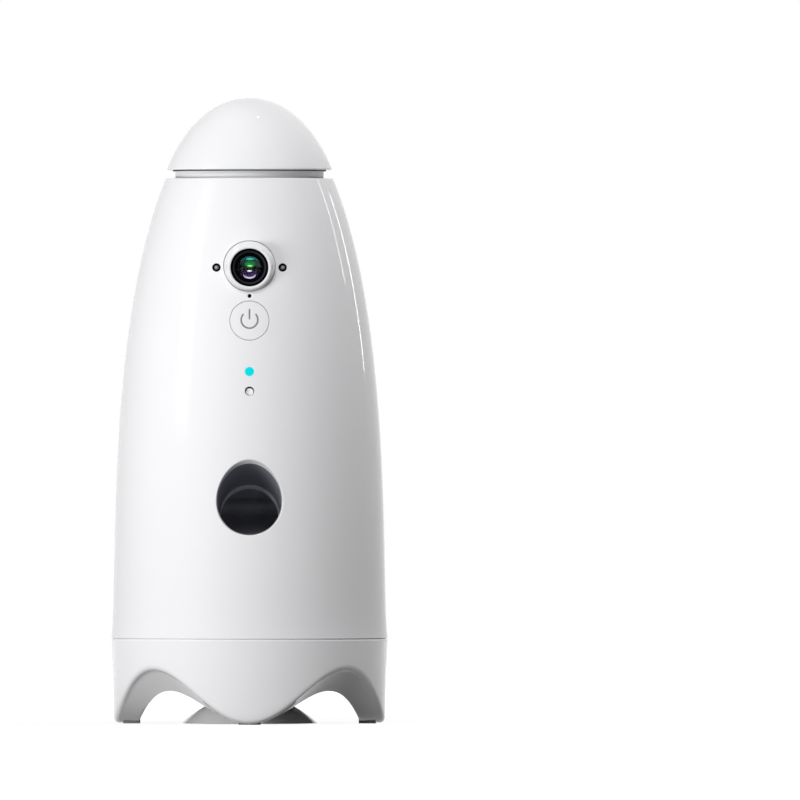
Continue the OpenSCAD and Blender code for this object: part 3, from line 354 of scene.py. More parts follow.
# %% Finish: silicone
SCATTER_DEPTH = 0.004
silicone = plastic("silicone", (0.96, 0.96, 0.965), (0.92, 0.92, 0.93), 0.08, 0.16, flow=60.0)
fill(silicone.node_tree, silicone.node_tree.nodes["Principled BSDF"], {
    "Subsurface Weight": 0.1, "Subsurface Radius": (1, 1, 1), "Subsurface Scale": SCATTER_DEPTH})
print("silicone scatters over", SCATTER_DEPTH, "m")

# %% [markdown]
# Steel parts were drawn or turned, so their marks run one way. Noise that is stretched along one axis
# gives such lines to the colour and the roughness. Bronze is the same with another colour and coarser
# pores, so both place one group.

# %% Group and finishes: metal
drawn, given, made = new_group("drawn_metal", {
    "Light tone": ("colour", (0.8, 0.8, 0.8, 1)), "Dark tone": ("colour", (0.6, 0.6, 0.6, 1)),
    "Waves": ("vector", (1000, 1000, 1000)),
    "Smoothest": ("number", 0.2), "Roughest": ("number", 0.4),
}, {"Color": "colour", "Roughness": "number"})
stretched = add_node(drawn, "Mapping", {"Vector": object_place(drawn), "Scale": given["Waves"]})
lines = add_node(drawn, "TexNoise", {
    "Vector": stretched.outputs["Vector"], "Scale": 1.0, "Detail": 4}).outputs["Fac"]
fill(drawn, made, {
    "Color": two_tones(drawn, lines, given["Light tone"], given["Dark tone"]),
    "Roughness": add_node(drawn, "MapRange", {
        "Value": lines, "To Min": given["Smoothest"],
        "To Max": given["Roughest"]}).outputs["Result"]})


def metal(name, light, dark, waves, smooth, rough):
    """Metal with fine lines. Waves are counted in a metre along X, Y and Z."""
    material, nodes, shader = shader_of(name)
    marks = add_node(nodes, "Group", {
        "Light tone": light, "Dark tone": dark, "Waves": waves, "Smoothest": smooth,
        "Roughest": rough}, node_tree=drawn).outputs
    fill(nodes, shader, {"Base Color": marks["Color"], "Roughness": marks["Roughness"],
                         "Metallic": 1})
    return material


steel = metal("steel", (0.72, 0.73, 0.75), (0.55, 0.56, 0.58), (300, 4000, 4000), 0.22, 0.4)
bronze = metal("bronze", (0.60, 0.42, 0.20), (0.42, 0.28, 0.12), (3000, 3000, 3000), 0.35, 0.55)
print(steel.name, "and", bronze.name)

# %% [markdown]
# A circuit board is green lacquer over copper. A fine brick pattern stands in for its tracks: where
# they run, the lacquer is lighter and a little raised.

# %% Finish: circuit board
solder_green, nodes, shader = shader_of("solder_green")
upright = add_node(nodes, "Mapping", {
    "Vector": object_place(nodes), "Rotation": (math.radians(90), 0, 0)})
tracks = add_node(nodes, "TexBrick", {
    "Vector": upright.outputs["Vector"], "Color1": (0.012, 0.10, 0.04),
    "Color2": (0.016, 0.13, 0.05), "Mortar": (0.05, 0.24, 0.10), "Scale": 160.0,
    "Mortar Size": 0.03}).outputs
relief = add_node(nodes, "Bump", {"Distance": 0.00003, "Height": tracks["Fac"]})
fill(nodes, shader, {"Base Color": tracks["Color"], "Normal": relief.outputs["Normal"],
                     "Roughness": 0.3})
print(solder_green.name)

# %% [markdown]
# The status light is a clear pipe over a cyan lamp, with a slightly uneven glow. The small infrared
# lamps are grey drops of clear epoxy.

# %% Finishes: lights
cyan_glow, nodes, shader = shader_of("cyan_glow")
unevenness = add_node(nodes, "TexNoise", {"Vector": object_place(nodes), "Scale": 700.0})
glow = two_tones(nodes, unevenness.outputs["Fac"], (0.0, 0.88, 0.98), (0.0, 0.95, 1.0))
fill(nodes, shader, {"Emission Color": glow, "Emission Strength": 0.8, "Roughness": 0.15,
                     "Base Color": (0.0, 0.01, 0.012), "Specular IOR Level": 0.05})
lamp_epoxy = plastic("lamp_epoxy", (0.48, 0.46, 0.48), (0.40, 0.39, 0.41), 0.05, 0.12, flow=900.0)
print(cyan_glow.name, "and", lamp_epoxy.name)

# %% [markdown]
# Several finishes need a soft round patch at a place on the object. A group makes one from the patch's
# middle and its half widths, so it can be used again for every painted ring and painted glint of the
# camera's eye.

# %% Group: soft patch
patch, given, made = new_group("soft_patch", {
    "Middle": ("vector", (0, 0, 0)), "Half widths": ("vector", (1, 1, 1)), "Blur": ("number", 0.1),
}, {"Mask": "number"})
from_middle = add_node(patch, "VectorMath", {0: object_place(patch), 1: given["Middle"]},
                       operation="SUBTRACT").outputs["Vector"]
in_widths = add_node(patch, "VectorMath", {0: from_middle, 1: given["Half widths"]},
                     operation="DIVIDE").outputs["Vector"]
how_far = add_node(patch, "VectorMath", {0: in_widths}, operation="LENGTH").outputs["Value"]
fade_starts = math_node(patch, "SUBTRACT", 1.0, given["Blur"])
fade_ends = math_node(patch, "ADD", 1.0, given["Blur"])
fill(patch, made, {"Mask": soft_ramp(patch, how_far, fade_starts, fade_ends, 1, 0)})
print("soft_patch has", len(patch.nodes), "nodes")

# %% [markdown]
# The front dome of the eye is clear glass. A trace of haze in its roughness keeps it from looking
# like an empty hole.

# %% Finish: clear glass
clear_glass, nodes, shader = shader_of("clear_glass")
haze = add_node(nodes, "TexNoise", {"Vector": object_place(nodes), "Scale": 300.0}).outputs["Fac"]
hazed = add_node(nodes, "MapRange", {"Value": haze, "To Min": 0.0, "To Max": 0.02})
fill(nodes, shader, {"Base Color": (0.95, 0.98, 0.97), "Transmission Weight": 1.0, "IOR": 1.18,
                     "Roughness": hazed.outputs["Result"]})
print(clear_glass.name)

# %% [markdown]
# The elements behind the dome carry painted reflections: green and cyan above and violet below, and
# white glints. They are painted into the colour and made to glow a little. Each painted glint is a patch.
# A crescent is one patch less another.

# %% Finish: glass with painted reflections
EYE_HEIGHT = 189.3
DEEP = 1000.0
# Each painted glint is a colour, a patch of (x, z, half width, half height, blur), and a patch cut from
# it.
PAINTED_REFLECTIONS = [
    ((0.003, 0.030, 0.026), (0.0, 2.2, 3.4, 2.0, 0.35), None),
    ((0.016, 0.004, 0.045), (0.0, -3.1, 3.1, 1.9, 0.45), None),
    ((0.10, 0.05, 0.22), (0.0, -2.6, 3.3, 2.4, 0.05), (0.0, -2.3, 3.4, 2.35, 0.05)),
    ((0.72, 0.52, 0.90), (0.0, -2.75, 2.4, 1.75, 0.10), (0.0, -2.1, 2.6, 1.6, 0.12)),
    ((0.004, 0.22, 0.030), (0.1, 1.35, 1.8, 1.15, 0.35), None),
    ((0.20, 0.80, 0.24), (0.2, 0.65, 0.9, 0.26, 0.5), None),
    ((0.010, 0.13, 0.115), (0.1, 2.3, 3.6, 2.1, 0.08), (0.1, 1.6, 3.7, 2.1, 0.12)),
    ((0.06, 0.62, 0.50), (0.1, 3.35, 1.3, 0.42, 0.4), None),
    ((0.95, 0.95, 1.0), (0.0, -1.35, 0.85, 0.24, 0.4), None),
]


def patch_mask(tree, x, z, half_x, half_z, blur):
    """A patch in the front view, given in millimetres from the eye's axis."""
    return add_node(tree, "Group", {
        "Middle": (x * MM, 0, (EYE_HEIGHT + z) * MM),
        "Half widths": (half_x * MM, DEEP, half_z * MM), "Blur": blur,
    }, node_tree=patch).outputs["Mask"]


reflection_painted_glass, nodes, shader = shader_of("reflection_painted_glass")
reflection_paint = (0.002, 0.002, 0.004)
for colour, where, less in PAINTED_REFLECTIONS:
    mask = patch_mask(nodes, *where)
    if less:
        kept = math_node(nodes, "SUBTRACT", 1.0, patch_mask(nodes, *less))
        mask = math_node(nodes, "MULTIPLY", mask, kept)
    reflection_paint = two_tones(nodes, mask, reflection_paint, colour)
# The colours are painted reflections and painted highlights, and the emission makes them glow though no
# lamp is here.
fill(nodes, shader, {"Base Color": reflection_paint, "Emission Color": reflection_paint, "Emission Strength": 0.2,
                     "Roughness": 0.2, "Specular IOR Level": 0.03})
print(reflection_painted_glass.name, "with", len(PAINTED_REFLECTIONS), "glints")

# %% [markdown]
# The barrel round the glass is black, and its sloping ring is painted greyer, a painted sheen for the
# light it catches, so it shows as a band of its own. Two patches of the eye's own radius mark that band.

# %% Finish: barrel
BAND_OUTER, BAND_INNER, BAND_BLUR = 6.88, 6.2, 0.01
barrel_black, nodes, shader = shader_of("barrel_black")
# Painted sheen: the greyer band on the sloping ring stands for the light it catches.
within = [patch_mask(nodes, 0.0, 0.0, r, r, BAND_BLUR) for r in (BAND_OUTER, BAND_INNER)]
band = math_node(nodes, "SUBTRACT", *within)
sheen_tone = two_tones(nodes, band, (0.001, 0.001, 0.002), (0.028, 0.030, 0.036))
fill(nodes, shader, {"Base Color": sheen_tone, "Roughness": 0.2, "Specular IOR Level": 0.02})
print(barrel_black.name, "band from", BAND_INNER, "to", BAND_OUTER, "mm")

# %% [markdown]
# The outer form is one smooth curve, turned round the axis. The same control points as in the measured
# part are repeated here, and the curve is sampled finely, so the reflections run without breaks.

# %% The body's curve
BODY_CURVE = np.array([(57.5, 35.5), (54.7, 58.7), (60.1, 165.6), (34.8, 226.5)])
TABLE_STEPS = 4001


def cubic(points, t):
    """Places on a cubic curve of [radius, height]."""
    t = np.asarray(t, float)[..., None]
    return ((1 - t) ** 3 * points[0] + 3 * (1 - t) ** 2 * t * points[1]
            + 3 * (1 - t) * t ** 2 * points[2] + t ** 3 * points[3])


CURVE_TABLE = cubic(BODY_CURVE, np.linspace(0, 1, TABLE_STEPS))
SLOPE_TABLE = np.gradient(CURVE_TABLE[:, 0], CURVE_TABLE[:, 1])


def body_radius(z):
    return np.interp(z, CURVE_TABLE[:, 1], CURVE_TABLE[:, 0])


def body_slope(z):
    return np.interp(z, CURVE_TABLE[:, 1], SLOPE_TABLE)


def front_y(x, z):
    """Where the shell's front lies at a place of the front view, in millimetres."""
    return -np.sqrt(np.maximum(body_radius(z) ** 2 - np.asarray(x) ** 2, 0))


print("front of the shell at the eye:", round(float(front_y(0, EYE_HEIGHT)), 2))

# %% [markdown]
# Every new shape is a skin over rings of points. One helper lays the faces between the rings, and
# another makes the rings by turning a profile round the axis.

# %% Skins over rings
TURN_STEPS = 192


def around(steps):
    """Angles of a full turn."""
    return np.linspace(0, 2 * math.pi, steps, endpoint=False)


def points_at(x, y, z):
    """Rows of [x, y, z] from numbers or arrays."""
    return np.column_stack(np.broadcast_arrays(x, y, z))


def skin_of(rings, wrap=False, start_cap=False, end_cap=False):
    """Points and faces of a skin over equal rings. Wrap joins the last ring to the first."""
    n = len(rings[0])
    faces = []
    for k in range(len(rings) - (0 if wrap else 1)):
        a, b = k * n, (k + 1) % len(rings) * n
        faces += [(a + j, a + (j + 1) % n, b + (j + 1) % n, b + j) for j in range(n)]
    if start_cap:
        faces.append(tuple(range(n))[::-1])
    if end_cap:
        faces.append(tuple(range((len(rings) - 1) * n, len(rings) * n)))
    return np.vstack(rings), faces


def turned(profile):
    """A closed profile of [radius, height], turned round the axis, counter-clockwise as drawn."""
    angle = around(TURN_STEPS)
    rings = [points_at(r * np.cos(angle), r * np.sin(angle), z) for r, z in profile]
    return skin_of(rings, wrap=True)


print("skins can be joined from rings of points")

# %% [markdown]
# Points and faces become a mesh in two steps: shapes that belong together are joined, and then
# doubled points are merged and all normals turned outwards.

# %% From points to a mesh
JOIN_WITHIN, SHORTEST_EDGE = 2e-7, 1e-8


def joined(shapes):
    """Several shapes of points and faces as one."""
    points, faces, count = [], [], 0
    for p, f in shapes:
        points.append(p)
        faces += [tuple(i + count for i in face) for face in f]
        count += len(p)
    return np.vstack(points), faces


def tidy_mesh(name, points, faces):
    """A mesh in metres from points in millimetres."""
    mesh = bpy.data.meshes.new(name)
    mesh.from_pydata((np.asarray(points) * MM).tolist(), [], faces)
    sheet = bmesh.new()
    sheet.from_mesh(mesh)
    bmesh.ops.remove_doubles(sheet, verts=sheet.verts, dist=JOIN_WITHIN)
    bmesh.ops.dissolve_degenerate(sheet, edges=sheet.edges, dist=SHORTEST_EDGE)
    bmesh.ops.recalc_face_normals(sheet, faces=sheet.faces)
    sheet.to_mesh(mesh)
    sheet.free()
    return mesh


print("meshes merge points within", JOIN_WITHIN, "m")

# %% [markdown]
# A mesh becomes a piece of the feeder when it has its shading, its finish, the body that it rides on,
# and the measured parts that it stands for.

# %% Piece helper
def shade(mesh, sharp):
    """Smooth shading, with edges sharper than an angle in degrees kept sharp."""
    mesh.shade_smooth()
    mesh.set_sharp_from_angle(angle=math.radians(sharp))


def piece(name, shape, finish, body, stands_for=(), sharp=35):
    """A finished piece from points and faces, or from a ready mesh."""
    mesh = shape if isinstance(shape, bpy.types.Mesh) else tidy_mesh(name, *shape)
    mesh.name = name
    if not mesh.has_custom_normals:
        shade(mesh, sharp)
    mesh.materials.clear()
    mesh.materials.append(finish)
    whole = bpy.data.objects.new(name, mesh)
    bpy.context.scene.collection.objects.link(whole)
    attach(whole, body)
    if stands_for:
        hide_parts(*stands_for)
    print(name, len(mesh.polygons), "faces")


print("piece helper ready")

# %% [markdown]
# Holes are cut with a tool that follows the curved surface. Its rings can widen towards the outside,
# which leaves a rounded rim as a mould does.

# %% Cutting helpers
CUT_FROM = -5.0
RIM_STEPS, RIM_TILT = 4, 10


def circle(x, z, radius, steps):
    angle = around(steps)
    return np.column_stack([x + radius * np.cos(angle), z + radius * np.sin(angle)])


def on_shell(flat, depth):
    """Places of the front view, laid at one depth under the shell's surface."""
    return points_at(flat[:, 0], front_y(flat[:, 0], flat[:, 1]) + depth, flat[:, 1])


def hole_tool(outline, stations):
    """A closed tool. Outline(grow) gives [x, z] rows, and each station is (grow, depth)."""
    rings = [on_shell(outline(grow), depth) for grow, depth in stations]
    return skin_of(rings, start_cap=True, end_cap=True)


def rounded_rim(radius, deep):
    """Stations of a hole whose rim is rounded, from outside the skin down to a depth."""
    arc = [math.radians(a) for a in np.linspace(90 - RIM_TILT, 0, RIM_STEPS)]
    bend = [(radius * (1 - math.cos(a)), radius * (1 - math.sin(a))) for a in arc]
    widest, first_depth = bend[0][0] + radius * 0.6, bend[0][1]
    tilt = math.tan(math.radians(RIM_TILT))
    return [(widest, CUT_FROM), (widest, first_depth - radius * 0.6 * tilt)] + bend + [(0.0, deep)]


def round_hole(x, z, radius, rim, deep, steps=64):
    return hole_tool(lambda grow: circle(x, z, radius + grow, steps), rounded_rim(rim, deep))


def cut(mesh, tools):
    """The mesh with the tools taken out of it."""
    target = bpy.data.objects.new("cut_target", mesh)
    tool = bpy.data.objects.new("cut_tool", tidy_mesh("cut_tool", *joined(tools)))
    for o in (target, tool):
        bpy.context.scene.collection.objects.link(o)
    step = target.modifiers.new("cut", "BOOLEAN")
    step.operation = "DIFFERENCE"
    step.solver = "EXACT"
    step.object = tool
    view = bpy.context.evaluated_depsgraph_get()
    result = bpy.data.meshes.new_from_object(target.evaluated_get(view))
    for o in (target, tool):
        bpy.data.objects.remove(o)
    return result


print("cutting helpers ready")

# %% [markdown]
# A cut leaves long thin faces round a hole, and they would show as dents in the reflections. So every
# corner that still lies on the body's curve gets the curve's own normal back.

# %% True normals
ON_CURVE, FACES_OUT, END_MARGIN = 0.03, 0.95, 0.1


def read_rows(items, key, width, kind=np.float32):
    """One property of many items, as rows of a table."""
    flat = np.empty(len(items) * width, kind)
    items.foreach_get(key, flat)
    return flat.reshape(-1, width) if width > 1 else flat


def true_normals(mesh, sharp=35):
    """Gives the corners on the body's curve its normals, and says how many there are."""
    shade(mesh, sharp)
    corner = read_rows(mesh.corner_normals, "vector", 3)
    at = read_rows(mesh.vertices, "co", 3)[read_rows(mesh.loops, "vertex_index", 1, np.int32)] / MM
    corners_each = read_rows(mesh.polygons, "loop_total", 1, np.int32)
    facing = np.repeat(read_rows(mesh.polygons, "normal", 3), corners_each, axis=0)
    radius = np.hypot(at[:, 0], at[:, 1])
    wanted = np.column_stack([at[:, 0], at[:, 1], -radius * body_slope(at[:, 2])])
    wanted /= np.maximum(np.linalg.norm(wanted, axis=1, keepdims=True), 1e-9)
    near = np.abs(radius - body_radius(at[:, 2])) < ON_CURVE
    near &= at[:, 2] > BODY_CURVE[0][1] + END_MARGIN
    near &= at[:, 2] < BODY_CURVE[3][1] - END_MARGIN
    near &= (facing * wanted).sum(1) > FACES_OUT
    corner[near] = wanted[near]
    mesh.normals_split_custom_set(corner.tolist())
    return int(near.sum())


print("true normals ready")

# %% [markdown]
# The body is a tall shell with a flat shoulder. Both of its free edges are rounded a little, as every
# moulded edge is, and those small rounds are what catches the light in the seam and at the shoulder.

# %% The body's profile
BODY_WALL = 2.5
SEAM_HEIGHT, SHOULDER_HEIGHT = 35.5, 226.5
SEAM_IN, NECK_HOLE = 55.0, 31.1
SEAM_ROUND, SHOULDER_ROUND, HOLE_ROUND = 0.25, 0.35, 0.2


def edge_arc(centre, radius, start, end):
    """Points on a small round, in [radius, height]."""
    turns = [math.radians(a) for a in np.linspace(start, end, 5)]
    return [(centre[0] + radius * math.cos(a), centre[1] + radius * math.sin(a)) for a in turns]


side = cubic(BODY_CURVE, np.linspace(0.004, 0.9965, 110)).tolist()
inner_side = (cubic(BODY_CURVE, np.linspace(0.0, 0.955, 24)) - [BODY_WALL, 0]).tolist()
body_profile = (
    [(SEAM_IN, SEAM_HEIGHT)]
    + edge_arc((57.25, SEAM_HEIGHT + SEAM_ROUND), SEAM_ROUND, 270, 345)
    + side
    + edge_arc((34.62, SHOULDER_HEIGHT - SHOULDER_ROUND), SHOULDER_ROUND, 25, 90)
    + [(NECK_HOLE + HOLE_ROUND, SHOULDER_HEIGHT), (NECK_HOLE, SHOULDER_HEIGHT - HOLE_ROUND),
       (NECK_HOLE, SHOULDER_HEIGHT - BODY_WALL)]
    + inner_side[::-1]
)
print(len(body_profile), "points in the profile, shoulder radius", round(side[-1][0], 2))

# %% [markdown]
# The treat outlet is an egg that narrows upwards. Its wall slopes inwards, most of all at the top,
# which is why the photograph shows a grey crescent there.

# %% Outlet shape
OUTLET_WIDTH, OUTLET_HEIGHT, OUTLET_Z, OUTLET_TAPER = 27.4, 31.4, 94.1, 0.1
OUTLET_STEPS, OUTLET_RIM, OUTLET_PAST = 96, 0.35, 1.5
WALL_SLOPE_SIDE, WALL_SLOPE_TOP, WALL_SLOPE_BOTTOM = 0.45, 1.6, 0.3
DEEPEST_SHARE = 1.6


def outlet_at(grow, share):
    """The outline, grown at the rim and drawn in by a share of the wall's slope."""
    a = around(OUTLET_STEPS)
    slope = np.where(np.sin(a) > 0, WALL_SLOPE_TOP, WALL_SLOPE_BOTTOM)
    half_width = OUTLET_WIDTH / 2 + (grow - share * WALL_SLOPE_SIDE)
    half_height = OUTLET_HEIGHT / 2 + (grow - share * slope)
    x = half_width * np.cos(a) * (1 - OUTLET_TAPER * np.sin(a))
    return np.column_stack([x, OUTLET_Z + half_height * np.sin(a)])


outlet_rings = []
for grow, depth in rounded_rim(OUTLET_RIM, BODY_WALL + OUTLET_PAST):
    share = min(max(depth, 0) / BODY_WALL, DEEPEST_SHARE)
    outlet_rings.append(on_shell(outlet_at(grow, share), depth))
outlet_tool = skin_of(outlet_rings, start_cap=True, end_cap=True)
print("outlet opening", OUTLET_WIDTH, "x", OUTLET_HEIGHT, "mm")

# %% [markdown]
# The eye's bezel is a short white cone. Its foot has to follow the leaning shell, so each place on it
# is worked out by stepping down the cone until it meets the skin.

# %% Bezel shape
EYE_Y = float(front_y(0, EYE_HEIGHT))
BEZEL_OUT, BEZEL_ROUND, LIP_R, FLARE = 4.6, 0.7, 9.2, 0.28
STEPS_DOWN = 30
LIP_OUT = BEZEL_OUT - BEZEL_ROUND
ROUND = around(128)


def cone_radius(out):
    return LIP_R + FLARE * (LIP_OUT - out)


foot_out = np.zeros_like(ROUND)
for _ in range(STEPS_DOWN):
    foot_r = cone_radius(foot_out)
    foot_out = EYE_Y - front_y(foot_r * np.cos(ROUND), EYE_HEIGHT + foot_r * np.sin(ROUND))
foot_r = cone_radius(foot_out)
print("bezel foot radius", round(foot_r.min(), 2), "to", round(foot_r.max(), 2))

# %% [markdown]
# All the holes of the front are cut in one go: the bezel's seat, the two infrared windows, the
# microphone, the power button, the status light, the reset button and the outlet.

# %% Cut the front
BEZEL_GAP, BUTTON_GAP = 0.22, 0.14
INFRARED_X, INFRARED_HOLE = 13.7, 1.74
MIC_Z, MIC_R = 177.5, 0.8
POWER_Z, POWER_R = 167.3, 8.06
STATUS_Z, RESET_Z, DOT_R = 146.2, 138.1, 1.9
THROUGH = 5

seat_r = foot_r + BEZEL_GAP
seat = np.column_stack([seat_r * np.cos(ROUND), EYE_HEIGHT + seat_r * np.sin(ROUND)])
tools = [hole_tool(lambda grow: seat, [(0, CUT_FROM), (0, THROUGH + 1)]), outlet_tool]
for x in (-INFRARED_X, INFRARED_X):
    tools.append(round_hole(x, EYE_HEIGHT, INFRARED_HOLE, 0.1, THROUGH))
tools.append(round_hole(0, MIC_Z, MIC_R, 0.1, THROUGH, 32))
tools.append(round_hole(0, POWER_Z, POWER_R + BUTTON_GAP, 0.2, THROUGH, 128))
for z in (STATUS_Z, RESET_Z):
    tools.append(round_hole(0, z, DOT_R, 0.12, THROUGH))
body_mesh = cut(tidy_mesh("body_blank", *turned(body_profile)), tools)
print(true_normals(body_mesh), "corners follow the true curve")
piece("body_skin", body_mesh, shell_white, "case", ["body_shell"])

# %% [markdown]
# The lid is the same kind of turned shell. Its rim is rounded, and its underside stays open for the
# neck. A dark ring under it is painted shade for the rim's shadow. It gives the thin dark line that the
# photograph shows above the gap.

# %% The lid
LID_CURVE = np.array([(34.4, 230.0), (32.6, 235.6), (21.672, 260.0), (0.0, 260.0)])
LID_Z, LID_WALL, LID_ROOF = 230.0, 2.2, 2.0
RIM_IN, RIM_OUT, RIM_ROUND, RIM_HIGH = 31.1, 33.7, 0.45, 2.6
dome = cubic(LID_CURVE, np.linspace(0.03, 1, 70)).tolist()
dome_inside = cubic(LID_CURVE, np.linspace(0.12, 1, 30))
dome_inside[:, 0] = np.maximum(dome_inside[:, 0] - LID_WALL, 0)
dome_inside[:, 1] -= LID_ROOF
lid_profile = (
    [(RIM_IN, LID_Z), (RIM_OUT, LID_Z)] + edge_arc((33.75, LID_Z + RIM_ROUND), RIM_ROUND, 280, 340)
    + dome + dome_inside[::-1].tolist() + [(RIM_IN, LID_Z + RIM_HIGH)]
)
piece("lid_dome", turned(lid_profile), shell_white, "lid", ["lid"], sharp=50)

# Painted shade: a dark ring where the rim's shadow falls above the gap.
DARK_IN, DARK_OUT, DARK_HIGH, DARK_BEVEL, DARK_SUNK = 31.25, 31.9, 0.5, 0.15, 0.2
dark_low = LID_Z - DARK_HIGH
shade_ring_profile = [(DARK_IN, dark_low), (DARK_OUT - DARK_BEVEL, dark_low),
               (DARK_OUT, LID_Z + DARK_BEVEL - DARK_HIGH), (DARK_OUT, LID_Z + DARK_SUNK),
               (DARK_IN, LID_Z + DARK_SUNK)]
piece("lid_shade_ring", turned(shade_ring_profile), soft_black, "lid", sharp=30)

# %% [markdown]
# The base ends in a wave: four legs with arches between them. The outer edge of the wave is higher
# than the inner one, so a broad sloping surface shows under each arch. It is built as one strip of
# section lines that goes round the axis.

# %% A section of the wavy base
LEGS, FOOT_LIFT, ARCH_INNER, ARCH_OUTER = 4, 0.3, 13.5, 22.0
BASE_TOP_R, BASE_FOOT_R, FOOT_RING_R, LEDGE_Z = 57.5, 56.2, 46.0, 16.4
EDGE_ROUND, INNER_ROUND, SEAM_CUT = 2.0, 0.5, 0.6
TOP_Z = SEAM_HEIGHT - 0.02
COLLAR = [(FOOT_RING_R - 2.5, LEDGE_Z), (FOOT_RING_R - 2.5, SEAM_HEIGHT + 0.5),
          (52.63, SEAM_HEIGHT + 0.5), (52.63, SEAM_HEIGHT + 2.7), (54.43, SEAM_HEIGHT + 2.7),
          (54.43, TOP_Z)]


def base_radius(z):
    return BASE_FOOT_R + (BASE_TOP_R - BASE_FOOT_R) * np.clip(z / SEAM_HEIGHT, 0, 1)


def base_section(angle):
    """One section of the base, as [radius, height] points from the seam down and back up inside."""
    swell = (1 - math.cos(LEGS * angle)) / 2
    low = FOOT_LIFT + ARCH_INNER * swell
    high = FOOT_LIFT + ARCH_OUTER * swell
    edge = base_radius(high)
    cut_z = SEAM_HEIGHT - SEAM_CUT
    line = [(BASE_TOP_R - 1.5, TOP_Z), (BASE_TOP_R - SEAM_CUT, TOP_Z),
            (BASE_TOP_R - 0.1, cut_z + 0.08), (BASE_TOP_R - 0.01, cut_z - 0.15)]
    bottom = high + EDGE_ROUND
    line += [(base_radius(z), z) for z in np.linspace(cut_z - 0.5, bottom, 14)]
    for turn in [math.radians(t) for t in np.linspace(10, 90, 8)]:
        line.append((edge - EDGE_ROUND * (1 - math.cos(turn)),
                     bottom - EDGE_ROUND * math.sin(turn)))
    start = np.array(line[-1])
    end = np.array([FOOT_RING_R + INNER_ROUND, low])
    line += [tuple(start + (end - start) * s) for s in np.linspace(0.12, 1, 9)]
    line += [(FOOT_RING_R + 0.12, low + 0.15), (FOOT_RING_R, low + INNER_ROUND)]
    return np.array(line + [(FOOT_RING_R, LEDGE_Z)] + COLLAR)


print(len(base_section(0)), "points in a section")

# %% [markdown]
# At the back the charging socket sits in a shallow recess with round ends. The tool for it is a slot
# outline pushed in from behind.

# %% The base
BASE_STEPS = 360
SOCKET_Z, SOCKET_W, SOCKET_H, SOCKET_DEEP, SOCKET_GAP = 20.8, 8.94, 3.26, 1.2, 0.2
RECESS_W, RECESS_H = 11.5, 6.5


def slot_outline(width, height):
    """A slot with round ends, as [x, z] points round its middle."""
    turns = [math.radians(a) for a in np.linspace(-90, 90, 24)]
    return np.array([(s * ((width - height) / 2 + height / 2 * math.cos(turn)),
                      s * height / 2 * math.sin(turn)) for s in (1, -1) for turn in turns])


def slot_tool(width, height, y_from, y_to):
    flat = slot_outline(width, height)
    rings = [points_at(flat[:, 0], y, SOCKET_Z + flat[:, 1]) for y in (y_from, y_to)]
    return skin_of(rings, start_cap=True, end_cap=True)


sections = []
for angle in np.linspace(0, 2 * math.pi, BASE_STEPS, endpoint=False):
    r, z = base_section(angle).T
    sections.append(points_at(r * math.cos(angle), r * math.sin(angle), z))
socket_face = float(base_radius(SOCKET_Z)) - SOCKET_DEEP
base_mesh = cut(tidy_mesh("base_blank", *skin_of(sections, wrap=True)), [
    slot_tool(RECESS_W, RECESS_H, socket_face, BASE_TOP_R + BODY_WALL),
    slot_tool(SOCKET_W + SOCKET_GAP, SOCKET_H + SOCKET_GAP, socket_face - 8, socket_face + 0.5),
])
piece("base_skin", base_mesh, shell_white, "case", ["base_shell"], sharp=40)

# %% [markdown]
# The bezel is built from its bore over the rounded lip and down to the foot, with a hidden flange that
# closes the fine gap round it.

# %% The bezel
BARREL_R, FLANGE = 7.7, 0.8


def eye_ring(radius, out):
    """A ring round the eye's axis, with its radius and its distance out of the shell."""
    x, z = radius * np.cos(ROUND), EYE_HEIGHT + radius * np.sin(ROUND)
    return points_at(x, EYE_Y - out, z)


bezel_rows = [(BARREL_R + 0.15, -2.0), (BARREL_R + 0.15, BEZEL_OUT - 0.3),
              (BARREL_R + 0.25, BEZEL_OUT - 0.1), (BARREL_R + 0.45, BEZEL_OUT)]
for turn in [math.radians(a) for a in np.linspace(90, 15, 6)]:
    bezel_rows.append((LIP_R - BEZEL_ROUND + BEZEL_ROUND * math.cos(turn),
                       LIP_OUT + BEZEL_ROUND * math.sin(turn)))
for share in np.linspace(0.1, 1, 8):
    out = LIP_OUT + (foot_out - LIP_OUT) * share
    bezel_rows.append((cone_radius(out), out))
bezel_rows += [(foot_r, foot_out - 1.6), (foot_r + FLANGE, foot_out - 1.8),
               (foot_r + FLANGE, foot_out - 2.0)]
bezel_shape = skin_of([eye_ring(*row) for row in bezel_rows], wrap=True)
piece("bezel", bezel_shape, shell_white, "case", ["camera_bezel"], sharp=50)

# %% [markdown]
# Inside the bezel sits the black barrel. Its steps are what the photograph shows as rings: a flat rim,
# a sloping glossy ring that catches the light and carries a painted sheen, a groove, and a thin raised
# lip round the glass.

# %% The barrel
barrel_profile = [
    (0.0, -9.0), (8.0, -9.0), (8.0, -7.4), (7.7, -7.2), (7.7, 3.75), (7.62, 3.87), (7.45, 3.9),
    (7.2, 3.86), (6.9, 3.55), (6.4, 3.15), (6.15, 2.95), (6.1, 2.3), (5.9, 2.1), (5.25, 2.1),
    (5.1, 2.25), (5.08, 2.55), (4.98, 2.65), (4.85, 2.6), (4.82, 2.4), (4.82, -1.6), (0.0, -1.6),
]
barrel_shape = skin_of([eye_ring(*row) for row in barrel_profile], wrap=True)
piece("barrel", barrel_shape, barrel_black, "case", ["camera_barrel"], sharp=25)

# %% [markdown]
# The glass is a clear front dome, and behind it two elements, each a shallow cap, that carry the painted
# reflections and glints. The caps bulge in opposite senses.

